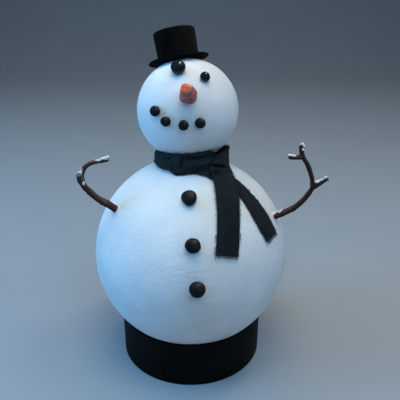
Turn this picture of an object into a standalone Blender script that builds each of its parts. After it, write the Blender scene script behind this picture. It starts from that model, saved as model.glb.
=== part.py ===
"""A tabletop snowman: two coated craft balls on a round base, with a felt top hat, a cloth scarf, clay
coals, a carrot nose and two twig arms.

Metres, +Z up. The origin is the centre of the base's underside, and the snowman faces -Y.
"""

from math import cos, radians, sin, sqrt

import bmesh
import bpy
from mathutils import Matrix, Vector

MM = 0.001
GAP = 0.3 * MM  # air between two pieces that touch
MERGE = 0.01 * MM
UP = Vector((0, 0, 1))
SHARP = radians(40)
CUTTER_REACH = 30 * MM  # how far a cutter carries on past what it cuts

# The two balls, each sanded flat where they meet and the head again under the hat
BODY_RADIUS = 100 * MM
BODY_CENTRE = Vector((0, 0, 118.4)) * MM
BODY_SEGMENTS = 44
BODY_RINGS = 20
HEAD_RADIUS = 50 * MM
HEAD_CENTRE = Vector((-2, 16.5, 265.4)) * MM
HEAD_SEGMENTS = 36
HEAD_RINGS = 18
FLAT_RADIUS = 20 * MM  # of the cutters, wider than either flat
FLAT_SEGMENTS = 24

# The round base that cradles the lower ball
BASE_RADIUS = 75.5 * MM
BASE_HEIGHT = 50 * MM
BASE_EDGE = 0.8 * MM
BASE_STEPS = 52
EDGE_STEPS = 2

# The hat leans back and to the side
HAT_LEAN_BACK = radians(20)
HAT_LEAN_SIDE = radians(9.8)
HAT_SEAT = 48.4 * MM  # from the head's centre to the brim's underside
BRIM_RADIUS = 29.9 * MM
BRIM_THICKNESS = 1.6 * MM
CROWN_RADIUS_LOW = 19.4 * MM
CROWN_RADIUS_HIGH = 20 * MM
CROWN_HEIGHT = 26.8 * MM
CROWN_EDGE = 2 * MM
CROWN_EDGE_STEPS = 3
BRIM_EDGE_STEPS = 4
HAT_STEPS = 36

# The clay coals and the eyes. The centre of each stands a share of its depth outside the ball
COAL_STAND = 0.62
COAL_SEGMENTS = 12
COAL_RINGS = 8
# Name: ball, azimuth from the front towards +X, elevation (degrees), radius (mm), depth to width
COALS = {
    "eye_large": ("head", -17.0, 59.3, 6.6, 1.0),
    "eye_small": ("head", 26.4, 47.6, 4.4, 1.0),
    "mouth_coal_1": ("head", -35.1, 11.5, 4.9, 0.92),
    "mouth_coal_2": ("head", -22.4, 2.8, 4.7, 0.92),
    "mouth_coal_3": ("head", -4.2, 0.0, 4.7, 0.92),
    "mouth_coal_4": ("head", 12.5, 1.9, 4.9, 0.92),
    "button_top": ("body", -1.1, 55.1, 7.0, 0.9),
    "button_middle": ("body", 1.1, 30.6, 6.9, 0.9),
    "button_bottom": ("body", 3.0, 8.8, 7.4, 0.9),
}

# The carrot nose: azimuth and elevation of its root on the head, and of the way it points
NOSE_ROOT = (1.6, 30.4)
NOSE_AIM = (-3.0, 24.0)
NOSE_LENGTH = 26 * MM
NOSE_RADIUS_ROOT = 7.8 * MM
NOSE_RADIUS_TIP = 5.2 * MM
NOSE_SUNK = 6 * MM
NOSE_TIP_ARC = (70, 10)  # degrees from the nose's root
NOSE_TIP_STEPS = 3
NOSE_STEPS = 20

# The twig arms, split at their forks. Name: points (mm), and the radius at the first and last (mm).
# A piece that others grow from ends in a round knuckle, and an outer end is blunt
SOCKET_DEPTH = 12 * MM
TWIG_BEVEL = 3
KNUCKLE = 1.0  # length of a twig's round end as a share of its radius
BLUNT = 0.45
END_ANGLES = (35, 62, 82)  # degrees, where a round end's rings lie
TWIGS = {
    "left_arm": (
        ((-72.9, -31.7, 181.1), (-79.8, -35.0, 188.0), (-87.4, -38.3, 195.0), (-98.1, -43.5, 209.0)),
        (3.5, 2.7),
    ),
    "left_forearm": (
        ((-98.1, -43.5, 209.0), (-99.8, -43.0, 215.5), (-99.6, -42.0, 221.6), (-96.6, -41.0, 227.6),
         (-91.2, -40.2, 231.3), (-85.4, -39.5, 232.5)),
        (2.5, 1.6),
    ),
    "left_outer_twig": (((-98.1, -43.5, 209.0), (-100.3, -48.5, 218.4), (-99.8, -53.0, 225.0)), (2.8, 2.8)),
    "left_hand_twig": (((-85.4, -39.5, 232.5), (-80.0, -39.5, 232.7), (-75.2, -40.0, 234.0)), (1.4, 1.3)),
    "left_inner_twig": (((-85.4, -39.5, 232.5), (-80.0, -42.5, 235.4), (-74.2, -45.0, 238.4)), (1.5, 1.3)),
    "right_arm": (
        ((82.3, -25.9, 168.8), (90.6, -28.3, 173.3), (101.4, -31.4, 181.3), (110.0, -35.0, 192.6),
         (115.3, -38.0, 204.0)),
        (2.5, 1.9),
    ),
    "right_forearm": (
        ((115.3, -38.0, 204.0), (114.3, -38.8, 212.3), (111.7, -39.8, 220.8), (108.3, -40.8, 228.6),
         (103.0, -42.0, 236.6)),
        (1.9, 1.9),
    ),
    "right_outer_twig": (((115.3, -38.0, 204.0), (120.0, -39.5, 208.2), (127.4, -42.0, 215.4)), (2.0, 1.9)),
    "right_hand_twig": (((103.0, -42.0, 236.6), (101.4, -42.4, 241.7), (101.0, -43.0, 247.8)), (2.2, 1.9)),
    "right_inner_twig": (((103.0, -42.0, 236.6), (97.0, -43.6, 236.9), (90.1, -46.0, 238.0)), (1.9, 1.7)),
}
# What each piece grows from, and so is cut by. The arms grow from the lower ball
GROWS_FROM = {
    "left_forearm": ("left_arm",),
    "left_outer_twig": ("left_arm", "left_forearm"),
    "left_hand_twig": ("left_forearm",),
    "left_inner_twig": ("left_forearm", "left_hand_twig"),
    "right_forearm": ("right_arm",),
    "right_outer_twig": ("right_arm", "right_forearm"),
    "right_hand_twig": ("right_forearm",),
    "right_inner_twig": ("right_forearm", "right_hand_twig"),
}

# The scarf: one strip of cloth, once round the neck and hanging in two tails
CLOTH_THICKNESS = 1.8 * MM
CLOTH_LIFT = 1.4 * MM  # from the lower ball to the middle of the cloth
CLOTH_COLUMNS = 4
WRAP_THICKNESS = 3 * MM
WRAP_CLEARANCE = 0.7 * MM
WRAP_STEPS = 42
WRAP_RADIUS = 36.1 * MM  # from the neck's axis to the middle of the cloth, on average
WRAP_FORWARD = 1.9 * MM  # how much further out it stands at the front
WRAP_SIDEWAYS = 3.2 * MM  # and on the +X side
WRAP_OVAL = 1.3 * MM  # it is that much longer front to back, and narrower across
WRAP_TOP = 14 * MM  # most that it rises above the neck
WRAP_BULGE = 1 * MM
TAIL_ROWS = 8
# A tail falls in an upright plane: its heading from the front towards +X (degrees), the places of its
# two edges across that plane at its upper and lower ends (mm), and the angles from the lower ball's top
# where it runs (degrees)
FRONT_TAIL = (0.0, (23.2, 46.2), (22.6, 42.8), (27.0, 64.8))
SIDE_TAIL = (63.3, (-22.0, 0.9), (-20.2, 0.2), (9.0, 67.8))
# The front tail comes over the wrap from the +X side of the neck. Its upper and lower edges there:
# angle round the neck (degrees), distance from the neck's axis and height above the neck (mm)
CROSSING = (
    ((104, 38.9, 9.5), (104, 39.2, -4.0)),
    ((82, 40.0, 10.5), (84, 40.6, -4.5)),
    ((60, 41.6, 9.5), (69, 44.6, -6.0)),
    ((40, 43.6, 2.5), (58, 50.5, -9.0)),
)

NECK_AXIS = (HEAD_CENTRE - BODY_CENTRE).normalized()
BALL_DISTANCE = (HEAD_CENTRE - BODY_CENTRE).length
NECK_HEIGHT = (BALL_DISTANCE**2 + BODY_RADIUS**2 - HEAD_RADIUS**2) / (2 * BALL_DISTANCE)
NECK = BODY_CENTRE + NECK_AXIS * NECK_HEIGHT
BALLS = {"body": (BODY_CENTRE, BODY_RADIUS), "head": (HEAD_CENTRE, HEAD_RADIUS)}

# Name: colour, roughness
FINISHES = {
    "white coat": ((0.86, 0.89, 0.92), 0.85),
    "black base": ((0.012, 0.012, 0.014), 0.7),
    "black felt": ((0.008, 0.008, 0.009), 0.95),
    "black clay": ((0.014, 0.014, 0.016), 0.6),
    "black bead": ((0.008, 0.008, 0.01), 0.15),
    "orange clay": ((0.62, 0.17, 0.05), 0.5),
    "bark": ((0.09, 0.045, 0.035), 0.8),
    "black cotton": ((0.018, 0.019, 0.023), 0.9),
}


def clear_scene():
    for thing in list(bpy.data.objects):
        bpy.data.objects.remove(thing, do_unlink=True)


def new_collection(name):
    collection = bpy.data.collections.new(name)
    bpy.context.scene.collection.children.link(collection)
    return collection


def new_material(piece_name, finish):
    """Each piece has a material of its own, in one of the finishes."""
    colour, roughness = FINISHES[finish]
    material = bpy.data.materials.new(f"{piece_name} {finish}")
    material.use_nodes = True
    shader = material.node_tree.nodes["Principled BSDF"]
    shader.inputs["Base Color"].default_value = (*colour, 1)
    shader.inputs["Roughness"].default_value = roughness
    shader.inputs["Metallic"].default_value = 0
    return material


def finish_piece(piece, finish):
    piece.data.materials.append(new_material(piece.name, finish))


def direction(azimuth, elevation):
    """A unit vector: azimuth from the front (-Y) towards +X, and elevation, in degrees."""
    a = radians(azimuth)
    e = radians(elevation)
    return Vector((sin(a) * cos(e), -cos(a) * cos(e), sin(e)))


def hat_axis():
    """The way the hat points: back from upright, and over to -X."""
    upright = cos(HAT_LEAN_SIDE)
    return Vector((-sin(HAT_LEAN_SIDE), sin(HAT_LEAN_BACK) * upright, cos(HAT_LEAN_BACK) * upright))


def standing(place, axis):
    """A matrix that stands a piece made along +Z on place, pointing along axis."""
    return Matrix.Translation(place) @ UP.rotation_difference(axis).to_matrix().to_4x4()


def neck_point(angle, distance, height):
    """A point round the neck, its angle from the front towards +X in degrees."""
    across = (Vector((1, 0, 0)) - NECK_AXIS * NECK_AXIS.x).normalized()
    ahead = across.cross(NECK_AXIS)
    a = radians(angle)
    return NECK + NECK_AXIS * height + (ahead * cos(a) + across * sin(a)) * distance


def object_from(work, name, collection, matrix=None):
    """Turn a bmesh into a smooth-shaded object."""
    mesh = bpy.data.meshes.new(name)
    work.to_mesh(mesh)
    work.free()
    mesh.shade_smooth()
    mesh.set_sharp_from_angle(angle=SHARP)
    made = bpy.data.objects.new(name, mesh)
    made.matrix_world = matrix or Matrix()
    collection.objects.link(made)
    return made


def as_cutter(made):
    made.hide_render = True
    made.display_type = "WIRE"
    return made


def combine(piece, other, operation):
    modifier = piece.modifiers.new(f"{operation.lower()} {other.name}", "BOOLEAN")
    modifier.operation = operation
    modifier.solver = "EXACT"
    modifier.object = other


def ball(name, centre, radius, segments, rings, collection):
    work = bmesh.new()
    bmesh.ops.create_uvsphere(work, u_segments=segments, v_segments=rings, radius=radius)
    return object_from(work, name, collection, Matrix.Translation(centre))


def flat_cutter(name, place, axis, collection):
    """A cylinder that stands on place, to sand a ball flat there."""
    work = bmesh.new()
    bmesh.ops.create_cone(
        work,
        cap_ends=True,
        segments=FLAT_SEGMENTS,
        radius1=FLAT_RADIUS,
        radius2=FLAT_RADIUS,
        depth=CUTTER_REACH,
    )
    bmesh.ops.translate(work, verts=work.verts, vec=UP * CUTTER_REACH / 2)
    return as_cutter(object_from(work, name, collection, standing(place, axis)))


def turned(name, profile, steps, collection, matrix=None):
    """A turned piece, from a profile that runs down its outer side, top to bottom."""
    work = bmesh.new()
    points = [work.verts.new((x, 0, z)) for x, z in profile]
    for upper, lower in zip(points, points[1:]):
        work.edges.new((upper, lower))
    made = object_from(work, name, collection, matrix)
    screw = made.modifiers.new("turn", "SCREW")
    screw.steps = steps
    screw.render_steps = steps
    screw.use_merge_vertices = True
    screw.merge_threshold = MERGE
    return made


def arc(centre, radius, start, end, steps):
    """Points on a profile's arc, with angles in degrees from +X towards +Z."""
    angles = [radians(start + (end - start) * i / steps) for i in range(steps + 1)]
    return [(centre[0] + radius * cos(a), centre[1] + radius * sin(a)) for a in angles]


def make_balls(parts, cutters):
    body = ball("body_ball", BODY_CENTRE, BODY_RADIUS, BODY_SEGMENTS, BODY_RINGS, parts)
    head = ball("head_ball", HEAD_CENTRE, HEAD_RADIUS, HEAD_SEGMENTS, HEAD_RINGS, parts)
    half_gap = NECK_AXIS * GAP / 2
    hat_seat = HEAD_CENTRE + hat_axis() * (HAT_SEAT - GAP)
    above_neck = flat_cutter("above neck", NECK - half_gap, NECK_AXIS, cutters)
    below_neck = flat_cutter("below neck", NECK + half_gap, -NECK_AXIS, cutters)
    under_hat = flat_cutter("under hat", hat_seat, hat_axis(), cutters)
    combine(body, above_neck, "DIFFERENCE")
    combine(head, below_neck, "DIFFERENCE")
    combine(head, under_hat, "DIFFERENCE")
    finish_piece(body, "white coat")
    finish_piece(head, "white coat")
    return body


def make_ball_cutters(cutters):
    """Both balls with the gap added, to seat what touches them."""
    body = ball("round body", BODY_CENTRE, BODY_RADIUS + GAP, BODY_SEGMENTS, BODY_RINGS, cutters)
    head = ball("round head", HEAD_CENTRE, HEAD_RADIUS + GAP, HEAD_SEGMENTS, HEAD_RINGS, cutters)
    return {"body": as_cutter(body), "head": as_cutter(head)}


def make_base(parts, ball_cutters):
    outer = BASE_RADIUS - BASE_EDGE
    profile = [(0, BASE_HEIGHT)]
    profile += arc((outer, BASE_HEIGHT - BASE_EDGE), BASE_EDGE, 90, 0, EDGE_STEPS)
    profile += arc((outer, BASE_EDGE), BASE_EDGE, 0, -90, EDGE_STEPS)
    profile += [(0, 0)]
    base = turned("base", profile, BASE_STEPS, parts)
    combine(base, ball_cutters["body"], "DIFFERENCE")
    finish_piece(base, "black base")


def make_hat(parts):
    axis = hat_axis()
    foot = HEAD_CENTRE + axis * HAT_SEAT
    half = BRIM_THICKNESS / 2
    profile = [(0, BRIM_THICKNESS)]
    profile += arc((BRIM_RADIUS - half, half), half, 90, -90, BRIM_EDGE_STEPS)
    profile += [(0, 0)]
    brim = turned("hat_brim", profile, HAT_STEPS, parts, standing(foot, axis))
    finish_piece(brim, "black felt")

    shoulder = (CROWN_RADIUS_HIGH - CROWN_EDGE, CROWN_HEIGHT - CROWN_EDGE)
    profile = [(0, CROWN_HEIGHT)]
    profile += arc(shoulder, CROWN_EDGE, 90, 0, CROWN_EDGE_STEPS)
    profile += [(CROWN_RADIUS_LOW, 0), (0, 0)]
    crown_foot = foot + axis * (BRIM_THICKNESS + GAP)
    crown = turned("hat_crown", profile, HAT_STEPS, parts, standing(crown_foot, axis))
    finish_piece(crown, "black felt")


def make_coal(name, parts, ball_cutters):
    which, azimuth, elevation, radius_mm, flatness = COALS[name]
    centre, ball_radius = BALLS[which]
    radius = radius_mm * MM
    outward = direction(azimuth, elevation)
    work = bmesh.new()
    bmesh.ops.create_uvsphere(work, u_segments=COAL_SEGMENTS, v_segments=COAL_RINGS, radius=radius)
    bmesh.ops.scale(work, verts=work.verts, vec=(1, 1, flatness))
    place = centre + outward * (ball_radius + COAL_STAND * radius * flatness)
    coal = object_from(work, name, parts, standing(place, outward))
    combine(coal, ball_cutters[which], "DIFFERENCE")
    finish_piece(coal, "black bead" if name.startswith("eye") else "black clay")


def make_nose(parts, ball_cutters):
    root = HEAD_CENTRE + direction(*NOSE_ROOT) * HEAD_RADIUS
    tip_centre = (0, NOSE_LENGTH - NOSE_RADIUS_TIP)
    profile = [(0, NOSE_LENGTH)]
    profile += arc(tip_centre, NOSE_RADIUS_TIP, *NOSE_TIP_ARC, NOSE_TIP_STEPS)
    profile += [(NOSE_RADIUS_ROOT, 0), (NOSE_RADIUS_ROOT, -NOSE_SUNK), (0, -NOSE_SUNK)]
    matrix = standing(root, direction(*NOSE_AIM))
    nose = turned("carrot_nose", profile, NOSE_STEPS, parts, matrix)
    combine(nose, ball_cutters["head"], "DIFFERENCE")
    finish_piece(nose, "orange clay")


def twig_line(name):
    """A twig's points and radii in metres, with its root and its round or blunt end added."""
    points, (first, last) = TWIGS[name]
    places = [Vector(point) * MM for point in points]
    if name not in GROWS_FROM:
        places.insert(0, places[0] + (places[0] - places[1]).normalized() * SOCKET_DEPTH)
    lengths = [0.0]
    for before, after in zip(places, places[1:]):
        lengths.append(lengths[-1] + (after - before).length)
    radii = [(first + (last - first) * length / lengths[-1]) * MM for length in lengths]
    return places, radii


def is_fork(name):
    return any(name == grown_from[0] for grown_from in GROWS_FROM.values())


def twig(name, object_name, extra, collection):
    """A closed tube of changing thickness along a twig, made thicker and longer by extra."""
    places, radii = twig_line(name)
    radii = [radius + extra for radius in radii]
    places[0] = places[0] + (places[0] - places[1]).normalized() * extra
    onward = (places[-1] - places[-2]).normalized()
    end = places[-1]
    radius = radii[-1]
    length = radius * (KNUCKLE if is_fork(name) else BLUNT)
    for angle in END_ANGLES:
        places.append(end + onward * length * sin(radians(angle)))
        radii.append(radius * cos(radians(angle)))

    curve = bpy.data.curves.new(object_name, "CURVE")
    curve.dimensions = "3D"
    curve.bevel_depth = 1
    curve.bevel_resolution = TWIG_BEVEL
    curve.use_fill_caps = True
    spline = curve.splines.new("POLY")
    spline.points.add(len(places) - 1)
    for knot, place, thickness in zip(spline.points, places, radii):
        knot.co = (*place, 1)
        knot.radius = thickness
    tube = bpy.data.objects.new(object_name, curve)
    collection.objects.link(tube)
    return mesh_from_curve(tube, collection)


def mesh_from_curve(tube, collection):
    """Replace a curve object by its mesh, with the end caps welded on."""
    bpy.context.view_layer.update()
    evaluated = tube.evaluated_get(bpy.context.evaluated_depsgraph_get())
    mesh = bpy.data.meshes.new_from_object(evaluated)
    work = bmesh.new()
    work.from_mesh(mesh)
    bmesh.ops.remove_doubles(work, verts=work.verts, dist=MERGE)
    bmesh.ops.recalc_face_normals(work, faces=work.faces)
    name = tube.name
    matrix = tube.matrix_world.copy()
    bpy.data.objects.remove(tube)
    bpy.data.meshes.remove(mesh)
    return object_from(work, name, collection, matrix)


def make_arms(parts, cutters, body):
    grown = {name for sources in GROWS_FROM.values() for name in sources}
    twig_cutters = {}
    for name in TWIGS:
        piece = twig(name, name, 0, parts)
        for source in GROWS_FROM.get(name, ()):
            combine(piece, twig_cutters[source], "DIFFERENCE")
        finish_piece(piece, "bark")
        if name in grown:
            twig_cutters[name] = as_cutter(twig(name, f"round {name}", GAP, cutters))
        if name not in GROWS_FROM:
            combine(body, twig_cutters[name], "DIFFERENCE")


def cloth(name, rows, thickness, collection, closed=False):
    """A strip of cloth: rows of points across it, one after another, with a wall of the thickness."""
    work = bmesh.new()
    lines = [[work.verts.new(point) for point in row] for row in rows]
    following = lines[1:] + lines[:1] if closed else lines[1:]
    for line, next_line in zip(lines, following):
        for i in range(len(line) - 1):
            work.faces.new((line[i], line[i + 1], next_line[i + 1], next_line[i]))
    made = object_from(work, name, collection)
    solidify = made.modifiers.new("wall", "SOLIDIFY")
    solidify.thickness = thickness
    solidify.offset = 0
    return made


def across(start, end):
    """Points of one row, from one edge of the cloth to the other."""
    return [start.lerp(end, i / CLOTH_COLUMNS) for i in range(CLOTH_COLUMNS + 1)]


def wrap_rows():
    """The wrap fills the groove between the balls, and bulges a little."""
    rows = []
    for step in range(WRAP_STEPS):
        angle = 360 * step / WRAP_STEPS
        a = radians(angle)
        distance = WRAP_RADIUS + WRAP_FORWARD * cos(a) + WRAP_SIDEWAYS * sin(a) + WRAP_OVAL * cos(2 * a)
        inner = distance - WRAP_THICKNESS / 2
        low = sqrt(BODY_RADIUS**2 - inner**2) - NECK_HEIGHT + WRAP_CLEARANCE
        head_height = BALL_DISTANCE - NECK_HEIGHT - sqrt(HEAD_RADIUS**2 - inner**2)
        high = min(head_height - WRAP_CLEARANCE, WRAP_TOP)
        row = []
        for i in range(CLOTH_COLUMNS + 1):
            share = i / CLOTH_COLUMNS
            bulge = WRAP_BULGE * sin(share * radians(180))
            row.append(neck_point(angle, distance + bulge, low + (high - low) * share))
        rows.append(row)
    return rows


def tail_row(heading, edges, angle):
    """One row of a tail that lies on the lower ball, angle in degrees from the ball's top."""
    a = radians(heading)
    h = Vector((sin(a), -cos(a), 0))
    side = Vector((cos(a), sin(a), 0))
    row = []
    for i in range(CLOTH_COLUMNS + 1):
        place = (edges[0] + (edges[1] - edges[0]) * i / CLOTH_COLUMNS) * MM
        reach = sqrt((BODY_RADIUS + CLOTH_LIFT) ** 2 - place**2)
        fall = radians(angle)
        row.append(BODY_CENTRE + side * place + h * reach * sin(fall) + UP * reach * cos(fall))
    return row


def tail_rows(heading, upper_edges, lower_edges, angles):
    rows = []
    for i in range(TAIL_ROWS + 1):
        share = i / TAIL_ROWS
        edges = [upper + (lower - upper) * share for upper, lower in zip(upper_edges, lower_edges)]
        rows.append(tail_row(heading, edges, angles[0] + (angles[1] - angles[0]) * share))
    return rows


def crossing_rows():
    rows = []
    for upper, lower in CROSSING:
        ends = [neck_point(a, distance * MM, height * MM) for a, distance, height in (upper, lower)]
        rows.append(across(*ends))
    return rows


def make_scarf(parts, cutters):
    scarf = cloth("scarf", wrap_rows(), WRAP_THICKNESS, parts, closed=True)
    front_rows = crossing_rows() + tail_rows(*FRONT_TAIL)
    front_tail = cloth("front tail", front_rows, CLOTH_THICKNESS, cutters)
    side_tail = cloth("side tail", tail_rows(*SIDE_TAIL), CLOTH_THICKNESS, cutters)
    for tail in (front_tail, side_tail):
        combine(scarf, as_cutter(tail), "UNION")
    finish_piece(scarf, "black cotton")


def main():
    clear_scene()
    parts = new_collection("snowman")
    cutters = new_collection("cutters and guides")
    ball_cutters = make_ball_cutters(cutters)
    body = make_balls(parts, cutters)
    make_base(parts, ball_cutters)
    make_hat(parts)
    for name in COALS:
        make_coal(name, parts, ball_cutters)
    make_nose(parts, ball_cutters)
    make_arms(parts, cutters, body)
    make_scarf(parts, cutters)


main()
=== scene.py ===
# %% [markdown]
# # A tabletop snowman
# The piece is a craft snowman: two foam balls with a hand-brushed white coat, a round black base, a felt
# top hat, a cotton scarf, clay coals, a clay carrot and two twig arms with dabs of snow paste. The CAD
# model fixes every size and place. This lesson loads it as a frame, builds a finer piece over each solid
# and gives each one a finish made of nodes, so that nothing depends on an image file.

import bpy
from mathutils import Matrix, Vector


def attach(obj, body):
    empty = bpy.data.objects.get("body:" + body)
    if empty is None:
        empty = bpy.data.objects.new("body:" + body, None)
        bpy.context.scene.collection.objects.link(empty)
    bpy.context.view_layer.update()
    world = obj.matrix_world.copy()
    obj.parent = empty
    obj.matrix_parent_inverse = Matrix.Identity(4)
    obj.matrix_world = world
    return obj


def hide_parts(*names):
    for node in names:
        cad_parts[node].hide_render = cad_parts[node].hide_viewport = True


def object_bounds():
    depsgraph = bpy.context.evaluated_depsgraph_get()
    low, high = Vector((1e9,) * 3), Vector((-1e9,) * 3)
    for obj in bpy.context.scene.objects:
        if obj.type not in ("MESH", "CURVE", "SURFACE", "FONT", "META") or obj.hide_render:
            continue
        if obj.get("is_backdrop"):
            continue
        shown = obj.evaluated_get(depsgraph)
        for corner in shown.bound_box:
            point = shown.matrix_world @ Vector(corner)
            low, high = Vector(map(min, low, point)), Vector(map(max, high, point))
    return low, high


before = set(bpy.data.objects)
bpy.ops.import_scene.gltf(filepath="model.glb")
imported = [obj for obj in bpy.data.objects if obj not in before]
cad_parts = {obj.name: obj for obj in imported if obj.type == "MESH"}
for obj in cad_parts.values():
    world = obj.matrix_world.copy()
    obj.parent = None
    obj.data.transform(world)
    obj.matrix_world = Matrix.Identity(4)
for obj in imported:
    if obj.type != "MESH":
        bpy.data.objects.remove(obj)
cad_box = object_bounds()
print("CAD box:", [tuple(round(1000 * x, 1) for x in corner) for corner in cad_box], "mm")

# %% [markdown]
# ## The working tools
# A few small helpers are used by every step. `piece_from` turns points and faces into a smooth object.
# `node` adds a node with its values and links set in the same line, which keeps a tree readable. `grow`
# runs a Geometry Nodes tree and keeps the result as a plain mesh, with no modifiers left on it. It sets an
# input by its socket's identifier, the name under which the modifier stores it.

# %% Points and faces into an object
from math import cos, pi, radians, sin, sqrt

import bmesh
import bpy
import numpy as np
from mathutils import Matrix, Vector, noise
from mathutils.kdtree import KDTree

MM = 0.001
UP = Vector((0, 0, 1))


def added(name, data):
    """A new object in the scene."""
    thing = bpy.data.objects.new(name, data)
    bpy.context.scene.collection.objects.link(thing)
    return thing


def piece_from(name, points, faces):
    mesh = bpy.data.meshes.new(name)
    mesh.from_pydata([tuple(point) for point in points], [], faces)
    mesh.validate()
    mesh.shade_smooth()
    return added(name, mesh)


def grid_faces(rows, columns, start=0, closed=True):
    """Faces between rows of points, where each row is a ring or an open line."""
    faces = []
    for a in range(start, start + (rows - 1) * columns, columns):
        for i in range(columns if closed else columns - 1):
            j = (i + 1) % columns
            faces.append((a + i, a + j, a + columns + j, a + columns + i))
    return faces


def points_of(piece, what="co"):
    """The places of a piece's points, or their normals."""
    points = np.empty(len(piece.data.vertices) * 3)
    piece.data.vertices.foreach_get(what, points)
    return points.reshape(-1, 3)


def move_points(piece, points):
    piece.data.vertices.foreach_set("co", np.asarray(points).ravel())
    piece.data.update()


def store(mesh, name, values):
    """Keep a number or a vector with each point, for a material or a tree to read."""
    kind, key = ("FLOAT_VECTOR", "vector") if values.ndim == 2 else ("FLOAT", "value")
    attribute = mesh.attributes.new(name, kind, "POINT")
    attribute.data.foreach_set(key, values.astype(np.float32).ravel())


def unit(ways):
    """The same directions with length one."""
    return ways / np.linalg.norm(ways, axis=-1, keepdims=True)


def lumps(points, size, seed):
    """Smooth noise from -1 to 1 at each point, with lumps of about that size."""
    shift = Vector((seed * 7.31, seed * 3.17, seed * 5.73))
    return np.array([noise.noise(Vector(point) / size + shift) for point in points])


# %% Nodes, and running them
def node(tree, kind, inputs=None, **settings):
    """Add a node. An input is given by name or number, as a value or as the socket that feeds it."""
    made = tree.nodes.new(kind)
    for key, value in settings.items():
        setattr(made, key, value)
    for key, value in (inputs or {}).items():
        if isinstance(value, bpy.types.NodeSocket):
            tree.links.new(value, made.inputs[key])
        else:
            made.inputs[key].default_value = value
    return made


def step(tree, kind, inputs=None, **settings):
    """Add a Geometry Nodes step, and give its first output."""
    return node(tree, "GeometryNode" + kind, inputs, **settings).outputs[0]


def calculate(tree, operation, *values):
    """One step of arithmetic on numbers."""
    return node(tree, "ShaderNodeMath", dict(enumerate(values)), operation=operation).outputs[0]


def times(tree, one, other):
    return calculate(tree, "MULTIPLY", one, other)


def vectors(tree, operation, *values):
    """One step of arithmetic on vectors. A scale's factor is given last."""
    inputs = {0: values[0], "Scale": values[1]} if operation == "SCALE" else dict(enumerate(values))
    made = node(tree, "ShaderNodeVectorMath", inputs, operation=operation)
    return made.outputs["Value" if operation in ("DOT_PRODUCT", "LENGTH") else "Vector"]


def between(tree, value, low, high, start=0.0, end=1.0):
    """A soft step from start to end as the value goes from low to high."""
    inputs = {"Value": value, "From Min": low, "From Max": high, "To Min": start, "To Max": end}
    return node(tree, "ShaderNodeMapRange", inputs, interpolation_type="SMOOTHSTEP").outputs[0]


def cloudy(tree, place, scale, detail=2.0):
    """Noise from 0 to 1 at a place; the scale is in lumps a metre."""
    return node(tree, "ShaderNodeTexNoise", {"Vector": place, "Scale": scale, "Detail": detail}).outputs[0]


def mixed(tree, share, colour, over):
    """Some share of one colour over another, each a socket or red, green and blue."""
    inputs = {0: share}
    for key, value in ((6, colour), (7, over)):
        inputs[key] = value if isinstance(value, bpy.types.NodeSocket) else (*value, 1)
    return node(tree, "ShaderNodeMix", inputs, data_type="RGBA").outputs[2]


def new_tree(name, kind, inputs, outputs):
    """A node group. A socket is given by its type, or by a number that it starts from."""
    tree = bpy.data.node_groups.new(name, kind)
    for way, sockets in (("INPUT", inputs), ("OUTPUT", outputs)):
        for label, value in sockets.items():
            is_number = not isinstance(value, str)
            sort = value if not is_number else "Int" if isinstance(value, int) else "Float"
            socket = tree.interface.new_socket(name=label, in_out=way, socket_type="NodeSocket" + sort)
            if is_number:
                socket.default_value = value
    return tree, node(tree, "NodeGroupInput").outputs, node(tree, "NodeGroupOutput").inputs


def applied(piece):
    """Replace a piece's mesh by what its modifiers make of it."""
    bpy.context.view_layer.update()
    mesh = bpy.data.meshes.new_from_object(piece.evaluated_get(bpy.context.evaluated_depsgraph_get()))
    piece.modifiers.clear()
    piece.data = mesh
    mesh.name = piece.name
    return piece


def grow(name, tree, values, start=None):
    """Run a Geometry Nodes tree, on a starting mesh if there is one, and keep what it makes."""
    piece = added(name, start or bpy.data.meshes.new(name))
    modifier = piece.modifiers.new("grow", "NODES")
    modifier.node_group = tree
    for socket in tree.interface.items_tree:
        if socket.in_out == "INPUT" and socket.name in values:
            modifier[socket.identifier] = values[socket.name]
    return applied(piece)


def set_on(piece, material, stands_for):
    """Finish a piece: its material, its body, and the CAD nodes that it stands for."""
    piece.data.materials.clear()
    piece.data.materials.append(material)
    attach(piece, "root")
    if stands_for:
        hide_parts(*stands_for)
    print(f"{piece.name}: {sum(len(p.vertices) - 2 for p in piece.data.polygons)} triangles")

# %% [markdown]
# ## Camera, floor and light
# The camera stands a little above the hat and looks down at the figure, as a person does at a piece on a
# table. The floor is one plain pale sweep. The light is soft: wide panels overhead, a cool one at the left
# and a weak one at the right, which round the balls gently and leave faint shadows under the coals. Each
# panel is a disc, because a disc gives round highlights on the glossy eyes.

# %% Camera
CAMERA_PLACE = Vector((0, -0.5195, 0.4094))
CAMERA_AIM = Vector((0.0097, 0, 0.1754))

camera = added("camera", bpy.data.cameras.new("camera"))
camera.location = CAMERA_PLACE
camera.rotation_mode = "QUATERNION"
camera.rotation_quaternion = (CAMERA_AIM - CAMERA_PLACE).to_track_quat("-Z", "Y")
camera.data.lens = 50
camera.data.sensor_width = 36
bpy.context.scene.camera = camera
print("camera distance:", round((CAMERA_AIM - CAMERA_PLACE).length, 3), "m")

# %% Light panels
FIGURE_MIDDLE = Vector((0, 0, 0.19))
PANEL_DISTANCE = 1.3
# Name: direction from the figure, width (m), colour times power (W)
PANELS = {
    "overhead": ((0, 0, 1), 0.9, (7.7, 5.5, 2.3)),
    "overhead front": ((0.16, -0.5, 0.84), 1.5, (4.75, 8.15, 11.8)),
    "left": ((-1, -0.15, 0.35), 0.8, (0.95, 5.4, 11.2)),
    "left high": ((-0.6, 0.1, 0.8), 0.7, (2.8, 3.8, 4.6)),
    "right": ((1, -0.2, 0.7), 0.9, (1.7, 2.3, 3.0)),
}


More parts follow.
